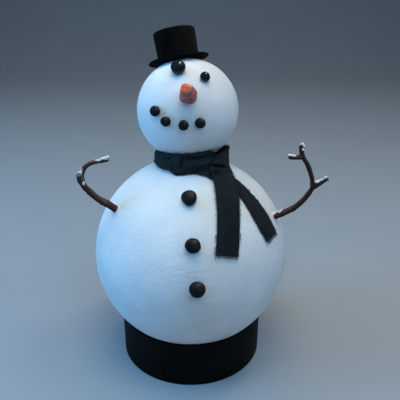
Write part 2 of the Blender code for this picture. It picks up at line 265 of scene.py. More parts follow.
def panel(name, way, width, power):
    """A round light that faces the figure."""
    light = bpy.data.lights.new(name, "AREA")
    light.shape = "DISK"
    light.size = width
    light.energy = max(power)
    light.color = [part / max(power) for part in power]
    lamp = added(name, light)
    lamp.location = FIGURE_MIDDLE + Vector(way).normalized() * PANEL_DISTANCE
    lamp.rotation_mode = "QUATERNION"
    lamp.rotation_quaternion = Vector(way).to_track_quat("Z", "Y")
    return lamp


for name, (way, width, power) in PANELS.items():
    panel(name, way, width, power).visible_glossy = False

# One small lamp over the right shoulder gives the glossy eyes their single highlight, and lights nothing
panel("glint", (0.39, 0.12, 0.91), 0.24, (46, 46, 46)).visible_diffuse = False

world = bpy.data.worlds.new("studio")
bpy.context.scene.world = world
world.use_nodes = True
air = world.node_tree.nodes["Background"].inputs
air["Color"].default_value = (0.55, 0.65, 0.75, 1)
air["Strength"].default_value = 0.05
bpy.context.scene.view_settings.view_transform = "Standard"
print("light panels:", len(PANELS))

# %% [markdown]
# The floor curves up into a back wall far behind the figure, so that no horizon line shows. Its finish is
# a smooth painted board with a very faint mottle.

# %% The pale sweep
FLOOR_HALF = 3.0
SWEEP_START = 1.4  # where the floor starts to rise behind the figure
SWEEP_RADIUS = 1.2


def new_finish(name, roughness, **even):
    """A material with its tree, its shader's inputs and its Object coordinates."""
    material = bpy.data.materials.new(name)
    material.use_nodes = True
    tree = material.node_tree
    shader = tree.nodes["Principled BSDF"].inputs
    shader["Roughness"].default_value = roughness
    for key, value in even.items():
        shader[key.replace("_", " ")].default_value = value
    return material, tree, shader, node(tree, "ShaderNodeTexCoord").outputs["Object"]


outline = [(-FLOOR_HALF, 0.0)]
for t in np.linspace(0, pi / 2, 24):
    outline.append((SWEEP_START + SWEEP_RADIUS * sin(t), SWEEP_RADIUS * (1 - cos(t))))
outline.append((SWEEP_START + SWEEP_RADIUS, FLOOR_HALF))
sweep = [(side * FLOOR_HALF, y, z) for y, z in outline for side in (-1, 1)]
floor = piece_from("floor", sweep, grid_faces(len(outline), 2, closed=False))
floor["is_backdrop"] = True

board, tree, shader, place = new_finish("pale board", 0.9)
tint = mixed(tree, cloudy(tree, place, 9.0, 3.0), (0.31, 0.35, 0.39), (0.34, 0.38, 0.42))
tree.links.new(tint, shader["Base Color"])
floor.data.materials.append(board)
print("floor:", 2 * FLOOR_HALF, "m wide")

# %% [markdown]
# ## Shared effects for the finishes
# Several finishes need the same few things: a colour that drifts from place to place, and a fine relief.
# Each is a shader node group, built once and placed in every material with its own values. They read
# Object coordinates, so a pattern stays on its piece from every side. The shader itself stays in each
# material, and values that are the same all over are set on its own sockets.

# %% Group: a drifting colour
drift, given, result = new_tree(
    "drifting colour",
    "ShaderNodeTree",
    {"Vector": "Vector", "Scale": 30.0, "Low": "Color", "High": "Color"},
    {"Color": "Color"},
)
mask = between(drift, cloudy(drift, given["Vector"], given["Scale"], 4.0), 0.32, 0.68)
drift.links.new(mixed(drift, mask, given["Low"], given["High"]), result["Color"])


def drifting(tree, place, scale, low, high):
    """A colour that wanders between two shades."""
    inputs = {"Vector": place, "Scale": scale, "Low": (*low, 1), "High": (*high, 1)}
    return node(tree, "ShaderNodeGroup", inputs, node_tree=drift).outputs[0]


# %% Group: a fine relief
relief, given, result = new_tree(
    "fine relief",
    "ShaderNodeTree",
    {"Vector": "Vector", "Coarse": 300.0, "Fine": 1200.0, "Share of fine": 0.4},
    {"Height": "Float"},
)
coarse = cloudy(relief, given["Vector"], given["Coarse"], 3.0)
fine = cloudy(relief, given["Vector"], given["Fine"])
height = node(relief, "ShaderNodeMix", {0: given["Share of fine"], 2: coarse, 3: fine}).outputs[0]
relief.links.new(height, result["Height"])


def grained(tree, place, coarse, fine, share):
    """A relief of coarse and fine grain, in lumps a metre, with that share of the fine."""
    inputs = {"Vector": place, "Coarse": coarse, "Fine": fine, "Share of fine": share}
    return node(tree, "ShaderNodeGroup", inputs, node_tree=relief).outputs[0]


def bump(tree, shader, height, depth, under=None):
    """Feed a height, in parts of depth metres, to the shader's normal."""
    inputs = {"Height": height, "Distance": depth}
    if under is not None:
        inputs["Normal"] = under
    normal = node(tree, "ShaderNodeBump", inputs).outputs[0]
    tree.links.new(normal, shader["Normal"])
    return normal


def even_finish(name, roughness, shades, grain, depth, **even):
    """A finish with a drifting colour (scale, low, high) and a grain (coarse, fine, share)."""
    material, tree, shader, place = new_finish(name, roughness, **even)
    tree.links.new(drifting(tree, place, *shades), shader["Base Color"])
    height = grained(tree, place, *grain)
    bump(tree, shader, height, depth)
    return material, tree, shader, height


print("shared groups:", drift.name, "and", relief.name)

# %% [markdown]
# ### White coat
# The balls have a thin coat of white texture paint, brushed on. It is matt and slightly cool, with a fine
# sandy grain and, in places, faint level strokes of the brush. The strokes that can be felt are in the
# mesh; the grain is too fine for that and is a bump. Handling has left faint tan patches, most between the
# buttons and the scarf.

# %% Finish: white coat
HANDLED_PLACE = Vector((0.016, -0.099, 0.122))
HANDLED_SIZE = 26 * MM
WORKED_PLACE = Vector((-0.004, -0.098, 0.125))
WORKED_SIZE = 42 * MM
BRUSHED_DEPTH = 1.1 * MM
GRAIN_DEPTH = 0.8 * MM


def round_patch(tree, middle, size, inner, start, end):
    """A soft patch round a place: start at its size, end inside that share of its size."""
    place = node(tree, "ShaderNodeTexCoord").outputs["Object"]
    away = vectors(tree, "LENGTH", vectors(tree, "SUBTRACT", place, middle))
    return between(tree, away, size, inner * size, start, end)


white_coat, tree, shader, place = new_finish("white coat", 0.85, Specular_IOR_Level=0.12)
white = drifting(tree, place, 38.0, (0.78, 0.785, 0.79), (0.84, 0.84, 0.84))
handled = cloudy(tree, place, 17.0, 4.0)
held_here = round_patch(tree, HANDLED_PLACE, HANDLED_SIZE, 0.3, 0.0, 0.6)
held_here = times(tree, held_here, between(tree, handled, 0.3, 0.6))
tan_share = calculate(tree, "MAXIMUM", between(tree, handled, 0.52, 0.72, 0.0, 0.55), held_here)
tree.links.new(mixed(tree, tan_share, white, (0.74, 0.72, 0.66)), shader["Base Color"])
stretched = node(tree, "ShaderNodeMapping", {"Vector": place, "Scale": (70, 70, 420)}).outputs[0]
dragged = between(tree, cloudy(tree, place, 20.0), 0.38, 0.6, 0.35, 1.0)
worked = round_patch(tree, WORKED_PLACE, WORKED_SIZE, 0.5, 0.12, 1.0)
strokes_here = times(tree, worked, dragged)
strokes = times(tree, cloudy(tree, stretched, 1.0, 3.0), strokes_here)
brushed = bump(tree, shader, strokes, BRUSHED_DEPTH)
bump(tree, shader, grained(tree, place, 290.0, 1000.0, 0.4), GRAIN_DEPTH, under=brushed)
print("white coat:", len(tree.nodes), "nodes")

# %% [markdown]
# ### Black base paint and black felt
# The base is wood under flat black paint put on with a roller, which leaves a slight stipple. The hat is
# wool felt: it reflects almost nothing straight on and shows a faint sheen at a glancing angle, where its
# fibres catch the light. That is what the sheen input is for.

# %% Finish: base paint and felt
base_paint, tree, shader, stipple = even_finish(
    "base paint",
    0.7,
    (25.0, (0.0022, 0.0021, 0.0018), (0.0046, 0.0043, 0.0036)),
    (500.0, 1700.0, 0.5),
    0.1 * MM,
    Specular_IOR_Level=0.1,
)
tree.links.new(between(tree, stipple, 0.3, 0.7, 0.6, 0.8), shader["Roughness"])
felt = even_finish(
    "felt",
    0.95,
    (160.0, (0.0018, 0.0018, 0.0016), (0.0042, 0.0042, 0.0036)),
    (900.0, 3600.0, 0.6),
    0.25 * MM,
    Specular_IOR_Level=0.03,
    Sheen_Weight=0.02,
    Sheen_Roughness=0.5,
)[0]

# %% [markdown]
# ### Black clay and glossy beads
# The coals are rolled by hand from black modelling clay. Skin leaves it satin in some places and dull in
# others, so its roughness varies, and tiny pits show as bump. The eyes are of the same black with a gloss
# varnish, so they have a clear coat over a nearly smooth body.

# %% Finish: clay and varnished beads
clay, tree, shader, pits = even_finish(
    "clay",
    0.55,
    (260.0, (0.005, 0.0072, 0.0092), (0.0125, 0.0165, 0.020)),
    (700.0, 2600.0, 0.35),
    0.28 * MM,
    Specular_IOR_Level=0.09,
)
tree.links.new(between(tree, pits, 0.3, 0.7, 0.5, 0.72), shader["Roughness"])
bead, tree, shader, orange_peel = even_finish(
    "varnished bead",
    0.5,
    (200.0, (0.006, 0.010, 0.014), (0.010, 0.015, 0.021)),
    (350.0, 900.0, 0.3),
    0.08 * MM,
    Specular_IOR_Level=0.05,
    Coat_IOR=1.3,
    Coat_Roughness=0.03,
)
tree.links.new(between(tree, orange_peel, 0.2, 0.8, 0.8, 1.0), shader["Coat Weight"])

# %% [markdown]
# ### Carrot clay
# The nose is clay painted as a carrot, redder round its root, with a dab of brown-grey on the blunt
# tip. A painted orange highlight lies on its upper left, where light falls on it, and painted shade
# darkens its creases, its upper rim and its underside. The nose mesh stores the painted shade, how
# stained each point is and how much painted highlight it has on top, and the material reads the three.

# %% Finish: carrot clay
carrot_clay, tree, shader, place = new_finish("carrot clay", 0.45, Specular_IOR_Level=0.3)


def stored(tree, name, output="Fac"):
    """What a mesh has stored under that name."""
    return node(tree, "ShaderNodeAttribute", attribute_name=name).outputs[output]


skin = drifting(tree, place, 260.0, (0.34, 0.078, 0.078), (0.86, 0.18, 0.145))
# Painted highlight: orange over the skin on the upper left, where light falls
skin_with_highlight = mixed(tree, stored(tree, "top"), skin, (1.0, 0.155, 0.04))
flecks = cloudy(tree, place, 620.0, 4.0)
broken = times(tree, stored(tree, "stain"), between(tree, flecks, 0.35, 0.6, 0.45, 0.95))
stained = mixed(tree, broken, skin_with_highlight, (0.22, 0.14, 0.135))
# Painted shade: near black in the creases, along the upper rim and underneath
painted_shade = times(tree, stored(tree, "crease"), 0.8)
tree.links.new(mixed(tree, painted_shade, stained, (0.06, 0.016, 0.014)), shader["Base Color"])
tree.links.new(between(tree, flecks, 0.3, 0.7, 0.38, 0.6), shader["Roughness"])
bump(tree, shader, flecks, 0.3 * MM)
print("carrot clay:", len(tree.nodes), "nodes")

# %% [markdown]
# ### Bark and snow paste
# The twigs keep their bark, which is dark brown with a reddish cast, with a painted highlight along the
# ridges that run along the wood. The twig meshes carry a vector named bark that turns round the twig fast
# and moves along it slowly, so noise that reads it comes out as long streaks that bend with the branch.
# Painted shade darkens the underside of each twig, one stub has lost its bark and is grey, and where an
# arm enters the ball its bark is rubbed through to redder wood. The snow paste is bright and crystalline.

# %% Finish: bark
bark, tree, shader, place = new_finish("bark", 0.75, Specular_IOR_Level=0.25)
along = stored(tree, "bark", "Vector")
streaks = drifting(tree, along, 2.2, (0.010, 0.0055, 0.005), (0.095, 0.032, 0.019))
warm = drifting(tree, place, 75.0, (0.060, 0.048, 0.054), (0.17, 0.043, 0.026))
# Painted highlight: paler bark along the raised ridges and bud rings
ridge_highlight = times(tree, between(tree, stored(tree, "ridge"), 0.45, 1.0), 0.5)
ridged = mixed(tree, ridge_highlight, mixed(tree, 0.5, streaks, warm), (0.22, 0.088, 0.044))
bare_wood = times(tree, stored(tree, "bare"), 0.75)
peeled = mixed(tree, bare_wood, ridged, (0.20, 0.18, 0.21))
from_root = node(tree, "ShaderNodeSeparateXYZ", {0: along}).outputs[2]
red_root = mixed(tree, between(tree, from_root, 1.9, 1.3, 0.0, 0.7), peeled, (0.14, 0.035, 0.045))
# Painted shade: the bark goes near black under each twig and darker on its sides
shaded_below = mixed(tree, stored(tree, "upper"), (0.006, 0.005, 0.006), red_root)
tree.links.new(shaded_below, shader["Base Color"])
bump(tree, shader, grained(tree, along, 5.0, 16.0, 0.5), 0.5 * MM)
print("bark:", len(tree.nodes), "nodes")

# %% Finish: snow paste
snow_paste = even_finish(
    "snow paste",
    0.55,
    (400.0, (0.84, 0.75, 0.77), (1.0, 0.93, 0.90)),
    (900.0, 2600.0, 0.5),
    0.3 * MM,
    Specular_IOR_Level=0.5,
)[0]

# %% [markdown]
# ### Woven cotton
# The scarf is a strip torn from plain-woven black cotton. A plain weave is two families of threads, each
# going over and under the other in turn, so its height is the wave of the family that lies on top, which
# swaps from cell to cell. The group reads the strip's own UV map, in metres, so the threads follow every
# fold. One family is a little greyer than the other, the tone drifts along the cloth, and painted light
# makes the part that goes round the neck lighter and greyer than the hanging ends.

# %% Group: plain weave
weave, given, result = new_tree(
    "plain weave",
    "ShaderNodeTree",
    {"Vector": "Vector", "Pitch": 0.0009},
    {"Height": "Float", "Over": "Float"},
)
cells = vectors(weave, "SCALE", given["Vector"], calculate(weave, "DIVIDE", pi, given["Pitch"]))
axes = node(weave, "ShaderNodeSeparateXYZ", {0: cells}).outputs
across, lengthways = [calculate(weave, "SINE", axes[i]) for i in (0, 1)]
swap = calculate(weave, "SIGN", times(weave, across, lengthways))
over = calculate(weave, "MULTIPLY_ADD", swap, 0.5, 0.5)
one = times(weave, calculate(weave, "ABSOLUTE", across), over)
under = calculate(weave, "SUBTRACT", 1.0, over)
other = times(weave, calculate(weave, "ABSOLUTE", lengthways), under)
weave.links.new(calculate(weave, "ADD", one, other), result["Height"])
weave.links.new(over, result["Over"])
print("plain weave:", len(weave.nodes), "nodes")

# %% Finish: cotton
THREAD_PITCH = 0.9 * MM
KNOT_SIDE = 24 * MM  # painted light: the wrap is lighter and greyer on the far side of the knot
cotton, tree, shader, place = new_finish(
    "cotton", 0.9, Specular_IOR_Level=0.06, Sheen_Weight=0.03, Sheen_Roughness=0.6
)
strip_place = node(tree, "ShaderNodeUVMap", uv_map="strip").outputs[0]
pitch = {"Vector": strip_place, "Pitch": THREAD_PITCH}
threads = node(tree, "ShaderNodeGroup", pitch, node_tree=weave).outputs
black = drifting(tree, place, 70.0, (0.0026, 0.0058, 0.0094), (0.0056, 0.0115, 0.0185))
from_side = node(tree, "ShaderNodeSeparateXYZ", {0: place}).outputs[0]
# Painted light: the wrap left of the knot is lighter and greyer than the tails
painted_light_on_wrap = mixed(tree, between(tree, from_side, KNOT_SIDE, KNOT_SIDE - 8 * MM), black, (0.020, 0.025, 0.026))
greyer = times(tree, threads["Over"], 0.3)
tree.links.new(mixed(tree, greyer, painted_light_on_wrap, (0.011, 0.020, 0.032)), shader["Base Color"])
rumpled = bump(tree, shader, cloudy(tree, place, 95.0, 3.0), 2.2 * MM)
woven = bump(tree, shader, threads["Height"], 0.22 * MM, under=rumpled)
bump(tree, shader, grained(tree, place, 900.0, 3000.0, 0.5), 0.15 * MM, under=woven)

# %% Finish: loose threads
loose_thread, tree, shader, place = new_finish("loose thread", 0.9, Specular_IOR_Level=0.1)
grey = drifting(tree, place, 300.0, (0.005, 0.006, 0.008), (0.02, 0.022, 0.026))
tree.links.new(grey, shader["Base Color"])
print("finishes:", sorted(m.name for m in bpy.data.materials))

# %% [markdown]
# ## The two balls
# Both balls are turned foam under a brushed coat. A rule describes them: a sphere, sanded flat where it
# meets its neighbour, with broad lumps from the coat and fine level ripples where the brush dragged. One
# Geometry Nodes tree makes both, so the coat is the same kind on each and only the numbers differ. Every
# offset goes inwards, so the finished ball never grows past the size that the CAD fixed.

# %% The tree for a coated ball
tree, given, result = new_tree(
    "coated ball",
    "GeometryNodeTree",
    {
        "Radius": 0.1,
        "Centre": "Vector",
        "Subdivisions": 7,
        "Lump Size": 0.03,
        "Lump Depth": 0.0004,
        "Ripple Length": 0.016,
        "Ripple Spacing": 0.003,
        "Ripple Depth": 0.00015,
        "Ripple Facing": "Vector",
        "Flat 1 Point": "Vector",
        "Flat 1 Direction": "Vector",
        "Flat 2 Point": "Vector",
        "Flat 2 Direction": "Vector",
        "Coat": "Material",
    },
    {"Geometry": "Geometry"},
)
size = {"Radius": given["Radius"], "Subdivisions": given["Subdivisions"]}
shaped = step(tree, "MeshIcoSphere", size)
where = step(tree, "InputPosition")
outward = vectors(tree, "NORMALIZE", where)
lump = cloudy(tree, where, calculate(tree, "DIVIDE", 1.0, given["Lump Size"]))
level = calculate(tree, "DIVIDE", 1.0, given["Ripple Length"])
upright = calculate(tree, "DIVIDE", 1.0, given["Ripple Spacing"])
stretch = node(tree, "ShaderNodeCombineXYZ", {0: level, 1: level, 2: upright}).outputs[0]
ripple = cloudy(tree, vectors(tree, "MULTIPLY", where, stretch), 1.0, 1.5)
facing = between(tree, vectors(tree, "DOT_PRODUCT", outward, given["Ripple Facing"]), 0.6, 0.93)
ripple_here = times(tree, facing, between(tree, cloudy(tree, where, 26.0), 0.36, 0.58))

lump_down = times(tree, lump, given["Lump Depth"])
ripple_down = times(tree, ripple, given["Ripple Depth"])
inwards = calculate(tree, "ADD", lump_down, times(tree, ripple_down, ripple_here))
offset = vectors(tree, "SCALE", outward, times(tree, inwards, -1.0))
shaped = step(tree, "SetPosition", {"Geometry": shaped, "Offset": offset})
for flat in ("Flat 1", "Flat 2"):
    where = step(tree, "InputPosition")
    from_flat = vectors(tree, "SUBTRACT", where, given[flat + " Point"])
    beyond = vectors(tree, "DOT_PRODUCT", from_flat, given[flat + " Direction"])
    back = times(tree, calculate(tree, "MAXIMUM", beyond, 0.0), -1.0)
    offset = vectors(tree, "SCALE", given[flat + " Direction"], back)
    shaped = step(tree, "SetPosition", {"Geometry": shaped, "Offset": offset})
shaped = step(tree, "SetPosition", {"Geometry": shaped, "Offset": given["Centre"]})
shaped = step(tree, "SetShadeSmooth", {"Geometry": shaped})
shaped = step(tree, "RealizeInstances", {"Geometry": shaped})
coat = step(tree, "SetMaterial", {"Geometry": shaped, "Material": given["Coat"]})
tree.links.new(coat, result["Geometry"])
coated_ball = tree
print("coated ball:", len(tree.nodes), "nodes")

# %% [markdown]
# The neck is the plane where the two spheres would cross; each ball is flat there. The head has a second
# flat under the hat. The sizes are the frame's own, repeated here in metres.

# %% Grow the body and the head
BODY_RADIUS = 100 * MM
BODY_CENTRE = Vector((0, 0, 118.4)) * MM
HEAD_RADIUS = 50 * MM
HEAD_CENTRE = Vector((-2, 16.5, 265.4)) * MM
HAT_BACK, HAT_SIDE = radians(20), radians(9.8)
HAT_AXIS = Vector((-sin(HAT_SIDE), sin(HAT_BACK) * cos(HAT_SIDE), cos(HAT_BACK) * cos(HAT_SIDE)))
HAT_SEAT = 48.4 * MM
HALF_GAP = 0.15 * MM

NECK_AXIS = (HEAD_CENTRE - BODY_CENTRE).normalized()
BALL_DISTANCE = (HEAD_CENTRE - BODY_CENTRE).length
NECK_HEIGHT = (BALL_DISTANCE**2 + BODY_RADIUS**2 - HEAD_RADIUS**2) / (2 * BALL_DISTANCE)
NECK = BODY_CENTRE + NECK_AXIS * NECK_HEIGHT


def ball(name, centre, radius, flats, coat):
    """A ball with its flats, each (distance from its centre, direction), and its coat's numbers (mm)."""
    values = {"Radius": radius, "Centre": centre, "Coat": white_coat}
    for number, (distance, way) in enumerate(flats, 1):
        values[f"Flat {number} Point"] = way * distance
        values[f"Flat {number} Direction"] = way
    names = ("Lump Size", "Lump Depth", "Ripple Length", "Ripple Spacing", "Ripple Depth")
    values.update(zip(names, [value * MM for value in coat[:5]]))
    values["Ripple Facing"] = Vector(coat[5]).normalized()
    set_on(grow(name, coated_ball, values), white_coat, [name + "_ball"])


body_flats = [(NECK_HEIGHT - HALF_GAP, NECK_AXIS), (1.0, -UP)]
ball("body", BODY_CENTRE, BODY_RADIUS, body_flats, (32, 0.5, 17, 3.2, 0.26, (0, -0.97, -0.1)))
head_flats = [(BALL_DISTANCE - NECK_HEIGHT - HALF_GAP, -NECK_AXIS), (HAT_SEAT - 2 * HALF_GAP, HAT_AXIS)]
ball("head", HEAD_CENTRE, HEAD_RADIUS, head_flats, (22, 0.4, 14, 3, 0.02, (0.2, -0.95, -0.2)))

# %% [markdown]
# ## The base
# The base is a turned wooden drum with a dished top that cradles the ball. A lathe profile describes it
# exactly: flat underside, eased edges, straight side, narrow rim, then the dish, which is an arc a hair
# wider than the ball. Two hundred and fifty-six steps round keep its edge smooth in a close view.

# %% The base on the lathe
BASE_RADIUS = 75.5 * MM
BASE_HEIGHT = 50 * MM
BASE_EDGE = 0.8 * MM
BOWL_RADIUS = BODY_RADIUS + 0.3 * MM
BASE_STEPS = 256


def lathe(name, profile, steps):
    """Turn (radius, height) points about Z. The first and the last lie on the axis and close it."""
    turns = [2 * pi * i / steps for i in range(steps)]
    points = [(reach * cos(t), reach * sin(t), height) for reach, height in profile[1:-1] for t in turns]
    end = len(points)
    points += [(0, 0, profile[0][1]), (0, 0, profile[-1][1])]
    faces = grid_faces(len(profile) - 2, steps)
    for i in range(steps):
        j = (i + 1) % steps
        faces += [(end, j, i), (end + 1, end - steps + i, end - steps + j)]
    return piece_from(name, points, faces)


def bend(centre, radius, start, end, steps):
    """Points of an arc in the profile, from start to end degrees."""
    turns = np.radians(np.linspace(start, end, steps + 1))
    return [(centre[0] + radius * cos(t), centre[1] + radius * sin(t)) for t in turns]


rim_inner = sqrt(BOWL_RADIUS**2 - (BODY_CENTRE.z - BASE_HEIGHT) ** 2)
edge_place = BASE_RADIUS - BASE_EDGE
profile = [(0.0, 0.0)] + [(reach, 0.0) for reach in np.linspace(5 * MM, edge_place - MM, 14)]
profile += bend((edge_place, BASE_EDGE), BASE_EDGE, -90, 0, 6)
profile += [(BASE_RADIUS, height) for height in np.linspace(2 * MM, BASE_HEIGHT - 2 * MM, 32)]
profile += bend((edge_place, BASE_HEIGHT - BASE_EDGE), BASE_EDGE, 0, 90, 6)
profile += [(rim_inner, BASE_HEIGHT)]
for t in np.linspace(np.arcsin(rim_inner / BOWL_RADIUS), 0.0, 40)[1:]:
    profile.append((BOWL_RADIUS * sin(t), BODY_CENTRE.z - BOWL_RADIUS * cos(t)))
base = lathe("base_drum", profile, BASE_STEPS)

# Paint and sanding leave the side a few hundredths of a millimetre out of true
points = points_of(base)
side = np.hypot(points[:, 0], points[:, 1]) > BASE_RADIUS - 0.01 * MM
wander = (lumps(points, 30 * MM, 3) - 1) * 0.06 * MM * side
points[:, :2] *= (1 + wander / BASE_RADIUS)[:, None]
move_points(base, points)
set_on(base, base_paint, ["base"])

# %% [markdown]
# ## The hat
# The hat is a disc of stiff felt with a felt-covered crown glued on it. The disc has been handled, so its
# edge rises and falls by a fraction of a millimetre, and the crown's shoulder is soft. Both are turned on
# the lathe in their own upright frame, loosened there with noise, then leaned back and to the side to sit
# on the head's flat.

# %% Brim
BRIM_RADIUS = 29.9 * MM
BRIM_THICKNESS = 1.6 * MM
FELT_STEP = 0.9 * MM


def lean_on_head(piece, height):
    """Stand a piece on the hat's axis, that far above the head's flat."""
    turn = UP.rotation_difference(HAT_AXIS).to_matrix().to_4x4()
    piece.data.transform(Matrix.Translation(HEAD_CENTRE + HAT_AXIS * (HAT_SEAT + height)) @ turn)


half = BRIM_THICKNESS / 2
flat = BRIM_RADIUS - half
profile = [(0.0, 0.0)] + [(reach, 0.0) for reach in np.arange(2 * MM, flat, FELT_STEP)]
profile += bend((flat, half), half, -90, 90, 10)
profile += [(reach, BRIM_THICKNESS) for reach in np.arange(flat - 0.6 * MM, MM, -FELT_STEP)]
profile += [(0.0, BRIM_THICKNESS)]
brim = lathe("hat_brim_felt", profile, 224)
points = points_of(brim)
reach = np.hypot(points[:, 0], points[:, 1]) / BRIM_RADIUS
turn = np.arctan2(points[:, 1], points[:, 0])
wave = 0.22 * np.sin(2 * turn + 0.6) + 0.14 * np.sin(3 * turn + 2.1) + 0.08 * np.sin(7 * turn)
points[:, 2] += wave * MM * np.clip((reach - 0.7) / 0.3, 0, 1) ** 2
points[:, :2] *= (1 - 0.035 * (1 + lumps(points, 5 * MM, 11)) * np.clip(reach - 0.9, 0, 1))[:, None]
move_points(brim, points)
lean_on_head(brim, 0)
set_on(brim, felt, ["hat_brim"])

# %% Crown
CROWN_RADIUS_LOW = 19.4 * MM
CROWN_RADIUS_HIGH = 20 * MM
CROWN_HEIGHT = 26.8 * MM
CROWN_SHOULDER = 2 * MM
CROWN_DISH = 0.35 * MM
FELT_PROUD = 0.9 * MM  # the pile stands that far off the stiff form
TOP_PAD = 0.9 * MM  # the felt is doubled over the top

top = CROWN_HEIGHT + TOP_PAD
shoulder = CROWN_RADIUS_HIGH - CROWN_SHOULDER
profile = [(0.0, 0.0)] + [(reach, 0.0) for reach in np.linspace(2 * MM, CROWN_RADIUS_LOW - 0.5 * MM, 14)]
for height in np.linspace(0.3 * MM, top - CROWN_SHOULDER, 40):
    profile.append((CROWN_RADIUS_LOW + (CROWN_RADIUS_HIGH - CROWN_RADIUS_LOW) * height / top, height))
profile += bend((shoulder, top - CROWN_SHOULDER), CROWN_SHOULDER, 8, 90, 8)
for reach in np.arange(shoulder - 0.8 * MM, MM, -FELT_STEP):
    profile.append((reach, top - CROWN_DISH * (1 - (reach / CROWN_RADIUS_HIGH) ** 2)))
profile += [(0.0, top - CROWN_DISH)]
crown = lathe("hat_crown_felt", profile, 200)
points = points_of(crown)
soft = 0.175 * MM * (1 + lumps(points, 9 * MM, 21)) + 0.06 * MM * (1 + lumps(points, 2.2 * MM, 22))
reach = np.maximum(np.hypot(points[:, 0], points[:, 1]), MM)
points[:, :2] *= (1 + (FELT_PROUD * np.clip(points[:, 2] / MM, 0, 1) - soft) / reach)[:, None]
points[:, 2] -= soft * np.clip((points[:, 2] - top + 3 * MM) / (3 * MM), 0, 1)
move_points(crown, points)
lean_on_head(crown, BRIM_THICKNESS + 0.3 * MM)
set_on(crown, felt, ["hat_crown"])

# %% [markdown]
# ## Coals, eyes and buttons
# Each coal is a pinch of clay rolled between finger and thumb and pressed on. So none is a true ball: each
# is pulled a little one way, dented another, and its back takes the shape of the ball that it sits on.
# One function does the same here: it lumps a fine sphere, pulls it in the given directions, stands it on
# the ball and pushes whatever would lie inside the ball out to its surface.

# %% Press the clay on
BALLS = {"head": (HEAD_CENTRE, HEAD_RADIUS), "body": (BODY_CENTRE, BODY_RADIUS)}
COAL_STAND = 0.62  # share of a coal's depth at which its centre stands off the ball
SPREAD = 1.05  # pressing it on makes it that much wider

work = bmesh.new()
bmesh.ops.create_icosphere(work, subdivisions=6, radius=1)
FINE_BALL = np.array([vert.co[:] for vert in work.verts])
FINE_BALL_FACES = [[vert.index for vert in face.verts] for face in work.faces]
work.free()


def direction(azimuth, elevation):
    """A way out of a ball: degrees from the front towards +X, and degrees up."""
    a, e = radians(azimuth), radians(elevation)
    return Vector((sin(a) * cos(e), -cos(a) * cos(e), sin(e)))


def facing_frame(outward):
    """Columns: to the right, up and outward, as seen by someone who faces the point."""
    right = Vector((-outward.y, outward.x, 0)).normalized()
    return np.array([right, outward.cross(right), outward]).T


def pushed_out(points, centre, radius):
    """Points inside the ball go straight out to its surface."""
    arm = points - np.array(centre)
    reach = np.linalg.norm(arm, axis=1)
    return np.array(centre) + arm * (np.maximum(reach, radius) / reach)[:, None]


def pressed_ball(name, which, azimuth, elevation, size, depth, pulls, seed):
    """A clay ball. A pull is (right, up, out, strength, sharpness); a negative strength dents it."""
    centre, ball_radius = BALLS[which]
    size *= MM
    swell = 0.965 + 0.035 * lumps(FINE_BALL, 0.8, seed) + 0.01 * lumps(FINE_BALL, 0.22, seed + 1)
    for *way, strength, sharpness in pulls:
        swell *= 1 + strength * np.clip(FINE_BALL @ np.array(Vector(way).normalized()), 0, 1) ** sharpness
    shaped = FINE_BALL * swell[:, None] * np.array([size * SPREAD, size * SPREAD, size * depth])
    outward = direction(azimuth, elevation)
    place = np.array(centre + outward * (ball_radius + COAL_STAND * size * depth))
    points = shaped @ facing_frame(outward).T + place
    return piece_from(name, pushed_out(points, centre, ball_radius + 0.05 * MM), FINE_BALL_FACES)


# Node: ball, azimuth, elevation, radius (mm), depth to width, pulls
COALS = {
    "mouth_coal_1": ("head", -35.1, 11.5, 4.9, 0.92, [(1, 0.3, 0, -0.05, 3), (-0.5, -1, 0, 0.03, 4)]),
    "mouth_coal_2": ("head", -22.4, 2.8, 4.7, 0.92, [(0.2, 1, 0, -0.05, 4), (1, -0.4, 0, 0.03, 5)]),
    "mouth_coal_3": ("head", -4.2, 0.0, 4.7, 0.92, [(-1, 0.6, 0, -0.04, 4), (1, 0.2, 0, 0.03, 4)]),
    "mouth_coal_4": ("head", 12.5, 1.9, 4.9, 0.92, [(1, 1, 0, -0.05, 4), (-1, 0.2, 0, 0.02, 4)]),
    "button_top": (
        "body", -1.1, 55.5, 7.2, 0.9,
        [(0.15, -1, 0.1, 0.13, 7), (-1, 0.5, 0, 0.05, 5), (1, 0.9, 0, 0.03, 5), (1, -0.6, 0, -0.07, 3),
         (-1, -0.5, 0, -0.04, 3)],
    ),
    "button_middle": (
        "body", 1.1, 30.6, 6.9, 0.9, [(0, -1, 0, -0.07, 4), (-1, 0.3, 0, 0.05, 5), (1, -0.8, 0, 0.05, 6)]
    ),
    "button_bottom": ("body", 3.0, 8.8, 7.4, 0.9, [(-1, -0.7, 0, -0.03, 4)]),
}  # fmt: skip
EYES = {
    "eye_large": (
        "head", -18.0, 59.4, 6.9, 0.96,
        [(0, -1, 0.2, 0.15, 7), (0, 1, 0, 0.05, 3), (-1, -0.8, 0, -0.05, 4), (1, -0.9, 0, -0.04, 4)],
    ),
    "eye_small": ("head", 27.0, 48.0, 4.6, 1.0, [(0.3, -1, 0, 0.03, 4)]),
}  # fmt: skip
for number, (name, shape) in enumerate(COALS.items()):
    set_on(pressed_ball(name + "_clay", *shape, 31 + 2 * number), clay, [name])
for number, (name, shape) in enumerate(EYES.items()):
    set_on(pressed_ball(name + "_bead", *shape, 61 + 2 * number), bead, [name])

# %% [markdown]
# ## The carrot nose
# The nose is a stub of clay carrot that points almost straight at the viewer. It was squeezed by hand, so
# its section is a rounded square rather than a circle, its end is blunt with a shallow hollow, and short
# creases run part of the way round it as on a real carrot. The mesh is a fine grid of rings; each crease
# is a groove with its own place, middle and reach, cut deepest in its middle.

